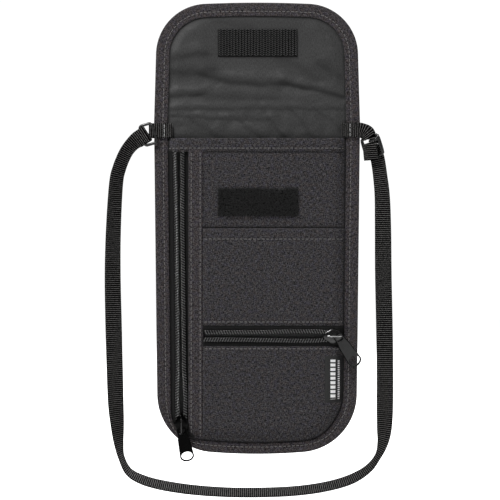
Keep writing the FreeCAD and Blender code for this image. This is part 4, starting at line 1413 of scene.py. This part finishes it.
# Strap route from the ring round to the adjuster: (x, z, depth, roll of the webbing in degrees).
STRAP_ROUTE = [
    (-83.9, 98.6, 5.0, 34), (-87.9, 94.0, 4.8, 42), (-90.9, 88.6, 4.6, 43), (-93.6, 81.6, 4.5, 42),
    (-95.6, 73.4, 4.5, 40), (-97.0, 55.0, 4.5, 36), (-98.0, 30.0, 4.5, 30), (-98.2, 5.0, 4.5, 22),
    (-97.6, -25.0, 4.5, 16), (-96.8, -55.0, 4.5, 18), (-96.1, -78.0, 4.5, 26), (-95.0, -94.0, 4.5, 44),
    (-94.0, -106.0, 4.5, 62), (-92.2, -115.5, 4.5, 75), (-87.7, -124.6, 4.5, 72), (-79.6, -129.9, 4.5, 66),
    (-66.0, -134.0, 4.5, 64), (-45.0, -137.3, 4.5, 64), (-20.0, -139.1, 4.5, 65), (5.0, -139.2, 4.5, 65),
    (28.0, -138.0, 4.5, 65), (48.0, -135.0, 4.5, 65), (64.0, -130.2, 4.5, 65), (75.5, -123.2, 4.5, 71),
    (82.2, -114.6, 4.5, 75), (85.4, -105.6, 4.5, 57), (86.6, -95.0, 4.5, 32), (87.0, -78.0, 4.5, 12),
    (87.0, -50.0, 4.5, 5), (86.5, -20.0, 4.5, 5), (85.9, 10.0, 4.5, 8), (85.7, 40.0, 4.3, 18),
    (85.2, 62.0, 4.1, 30), (83.8, 76.0, 4.0, 37),
]


def rolled_width(along, roll):
    """Width direction of webbing that lies flat to the front at roll 0 and turns about its length."""
    flat_out = Vector((0, 1, 0)).cross(along).normalized()
    toward = along.cross(flat_out)
    if toward.y > 0:
        toward = -toward
    return flat_out * math.cos(roll) + toward * math.sin(roll)


def wrap_round(centre, start_dir, turn_dir, radius, first, last, width, count=6):
    """Webbing points on an arc round a bar, between two angles in degrees in the plane of two directions."""
    points = []
    for k in range(count + 1):
        a = math.radians(first + (last - first) * k / count)
        spot = centre + start_dir * (radius * math.cos(a)) + turn_dir * (radius * math.sin(a))
        points.append((spot, width))
    return points


def hanging(degrees):
    """Width direction of webbing that hangs askew in the adjuster."""
    lean = math.radians(degrees)
    return ADJ_SIDE * math.cos(lean) - RING_UP * math.sin(lean)


def make_strap():
    """The strap wraps the ring's outer bar at one end and the adjuster's middle bar at the other."""
    loop_r = BAR_R + 0.6
    bar = ring_spot(RING_BAR, 0)
    skew = math.radians(33)
    across = Vector((-math.sin(skew), 0, math.cos(skew)))
    leave = Vector((-math.cos(skew), 0, -math.sin(skew)))
    turn = bar + Vector((2.3, 0, 1.2))
    points = [(turn + leave * 7 - FORWARD * 1.0, across), (turn + leave * 3.5 - FORWARD * 1.3, across)]
    points += wrap_round(turn, -leave, FORWARD, loop_r, -80, 80, across)
    points.append((turn + leave * 3.2 + FORWARD * 0.9, across))

    route = [at(x, depth, z) for x, z, depth, _ in STRAP_ROUTE]
    rolled = []
    for i, (point, (_, _, _, roll)) in enumerate(zip(route, STRAP_ROUTE)):
        before = route[i - 1] if i else bar
        after = route[i + 1] if i + 1 < len(route) else adjuster_spot(0, 1.5, -9)
        rolled.append((point, -rolled_width((after - before).normalized(), math.radians(roll))))
    if points[0][1].dot(rolled[0][1]) < 0:
        rolled = [(p, -w) for p, w in rolled]
    points += rolled

    sense = 1 if points[-1][1].dot(ADJ_SIDE) > 0 else -1
    across = ADJ_SIDE * sense
    points += [(adjuster_spot(0, 1.6, -10.0), across), (adjuster_spot(0, 1.6, -5.0), across)]
    points += wrap_round(adjuster_spot(-0.6, 0, 1.5), ADJ_BACK, RING_UP, loop_r, 0, 180, across)
    points.append((adjuster_spot(-1.8, -1.9, -4.0), hanging(9) * sense))
    points.append((adjuster_spot(-2.8, -2.0, -8.6), hanging(9) * sense))
    strap = webbing("webbing_strap", points, STRAP_WIDTH, 1.0)
    settle(strap, "strap", "webbing", "neck_strap", "strap_end_left", "strap_end_right")


def bridge_tab(hand, points):
    """Doubled tab with a sewn end and a loop round the strap hardware, fixed in place where it is made; it
    stands for the CAD tab and tab loop.
    """
    piece = webbing("tab_webbing_" + hand, points, TAB_WIDTH, 0.62)
    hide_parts("tab_" + hand, "tab_loop_" + hand)
    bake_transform(piece)


def make_tabs():
    upper, under = 3.95, 3.3      # depths of the tab's two layers
    low, high = box_mm("tab_left")
    middle = (low.z + high.z) / 2
    bar = ring_spot(-RING_BAR, 0)
    turn = at(bar.x - 2.2, (upper + under) / 2, middle)
    points = [(at(high.x, upper, middle), UP), (at(high.x - 4, upper, middle), UP),
              (at(high.x - 8, upper + 0.1, middle), UP)]
    points += wrap_round(turn, Vector((-1, 0, 0)), FORWARD, 1.25, 80, -80, UP)
    points += [(at(high.x - back, under, middle), UP) for back in (8, 4, 0)]
    bridge_tab("left", points)

    low, high = box_mm("tab_right")
    middle = (low.z + high.z) / 2
    bend = Vector((0.45, -0.35, 0.85)).normalized()
    points = [(at(low.x, upper, middle), UP), (at(low.x + 4, upper, middle), UP),
              (at(low.x + 9, upper + 0.1, middle), UP), (at(low.x + 13, upper + 0.3, middle - 0.3), UP),
              (adjuster_spot(-1.2, -1.2, 10.4), bend)]
    bar = adjuster_spot(0, 0, ADJUSTER_BAR)
    points += wrap_round(bar - RING_UP * 0.5, -ADJ_BACK, -RING_UP, 1.3, 0, 180, hanging(16), 7)
    points += [(adjuster_spot(-1.0, 0.6, 10.2), bend), (at(low.x + 13, under, middle - 0.3), UP),
               (at(low.x + 9, under, middle), UP), (at(low.x, under, middle), UP)]
    bridge_tab("right", points)

    for hand, x in (("left", -63.2), ("right", 63.3)):
        low, high = box_mm("tab_" + hand)
        depth = upper + 0.38
        mesh = Mesh()
        sew(mesh, [at(x, depth, low.z + 0.6), at(x, depth, high.z - 0.2)], FORWARD, pitch=3.1, length=2.4,
            radius=0.3, lift=0.22)
        settle(mesh.piece("tab_stitches_" + hand, TAB_THREAD), "pouch", "webbing")


# ================================================================ stage
def seen_strength(tree, shader, socket, unseen, seen):
    """Give a light one strength for the camera and another for everything it lights."""
    lift = tree.nodes.new("ShaderNodeMapRange")
    lift.inputs["To Min"].default_value = unseen
    lift.inputs["To Max"].default_value = seen
    tree.links.new(tree.nodes.new("ShaderNodeLightPath").outputs["Is Camera Ray"], lift.inputs["Value"])
    tree.links.new(lift.outputs["Result"], shader.inputs[socket])


def make_floor():
    """Plain floor a little below the pouch, which glows for the camera only so that it looks white."""
    half, level = 3.0, CAD_BOX[0].z - 0.022
    mesh = bpy.data.meshes.new("floor")
    corners = [(x * half, y * half, level) for x, y in ((-1, -1), (1, -1), (1, 1), (-1, 1))]
    mesh.from_pydata(corners, [], [(0, 1, 2, 3)])
    paint = bpy.data.materials.new("floor_paint")
    paint.use_nodes = True
    shader = paint.node_tree.nodes["Principled BSDF"]
    settings = {"Base Color": (0.9, 0.9, 0.9, 1), "Roughness": 1.0, "Specular IOR Level": 0.0,
                "Emission Color": (1, 1, 1, 1)}
    for socket, value in settings.items():
        shader.inputs[socket].default_value = value
    seen_strength(paint.node_tree, shader, "Emission Strength", 0.0, 0.9)
    mesh.materials.append(paint)
    add_object("floor", mesh)


def make_lights():
    world = bpy.data.worlds.new("studio")
    bpy.context.scene.world = world
    world.use_nodes = True
    background = world.node_tree.nodes["Background"]
    background.inputs["Color"].default_value = (1, 1, 1, 1)
    seen_strength(world.node_tree, background, "Strength", 0.10, 1.05)
    for name, place, size, power in (
            ("key", Vector((-0.5, -0.6, 1.15)), 0.4, 20.0),
            ("fill", Vector((1.5, -0.75, 0.3)), 0.8, 3.5),
            ("back", Vector((0.5, 1.2, 0.9)), 0.8, 22.0)):
        light = bpy.data.lights.new(name, "AREA")
        light.size = size
        light.energy = power
        softbox = add_object(name, light)
        softbox.location = place
        softbox.rotation_euler = (Vector((0, 0, 0.02)) - place).to_track_quat("-Z", "Y").to_euler()


def make_camera():
    """Level camera straight in front, far enough off to see 340 mm across at the pouch's front."""
    view_width = 340.0
    data = bpy.data.cameras.new("camera")
    data.lens = 100.0
    data.sensor_width = 36.0
    data.clip_start = 0.01
    data.clip_end = 20
    camera = add_object("camera", data)
    camera.location = at(-4.8, 5.0 + view_width * data.lens / data.sensor_width, 25.7) * MM
    camera.rotation_euler = (math.pi / 2, 0, 0)
    bpy.context.scene.camera = camera
    bpy.context.scene.view_settings.view_transform = "Standard"


make_sheets()
make_tapes()
make_binding()
make_seams()
make_loop_patch()
make_hook_patch()
make_label()
make_coils()
make_sliders()
make_hardware()
make_strap()
make_tabs()
make_floor()
make_lights()
make_camera()
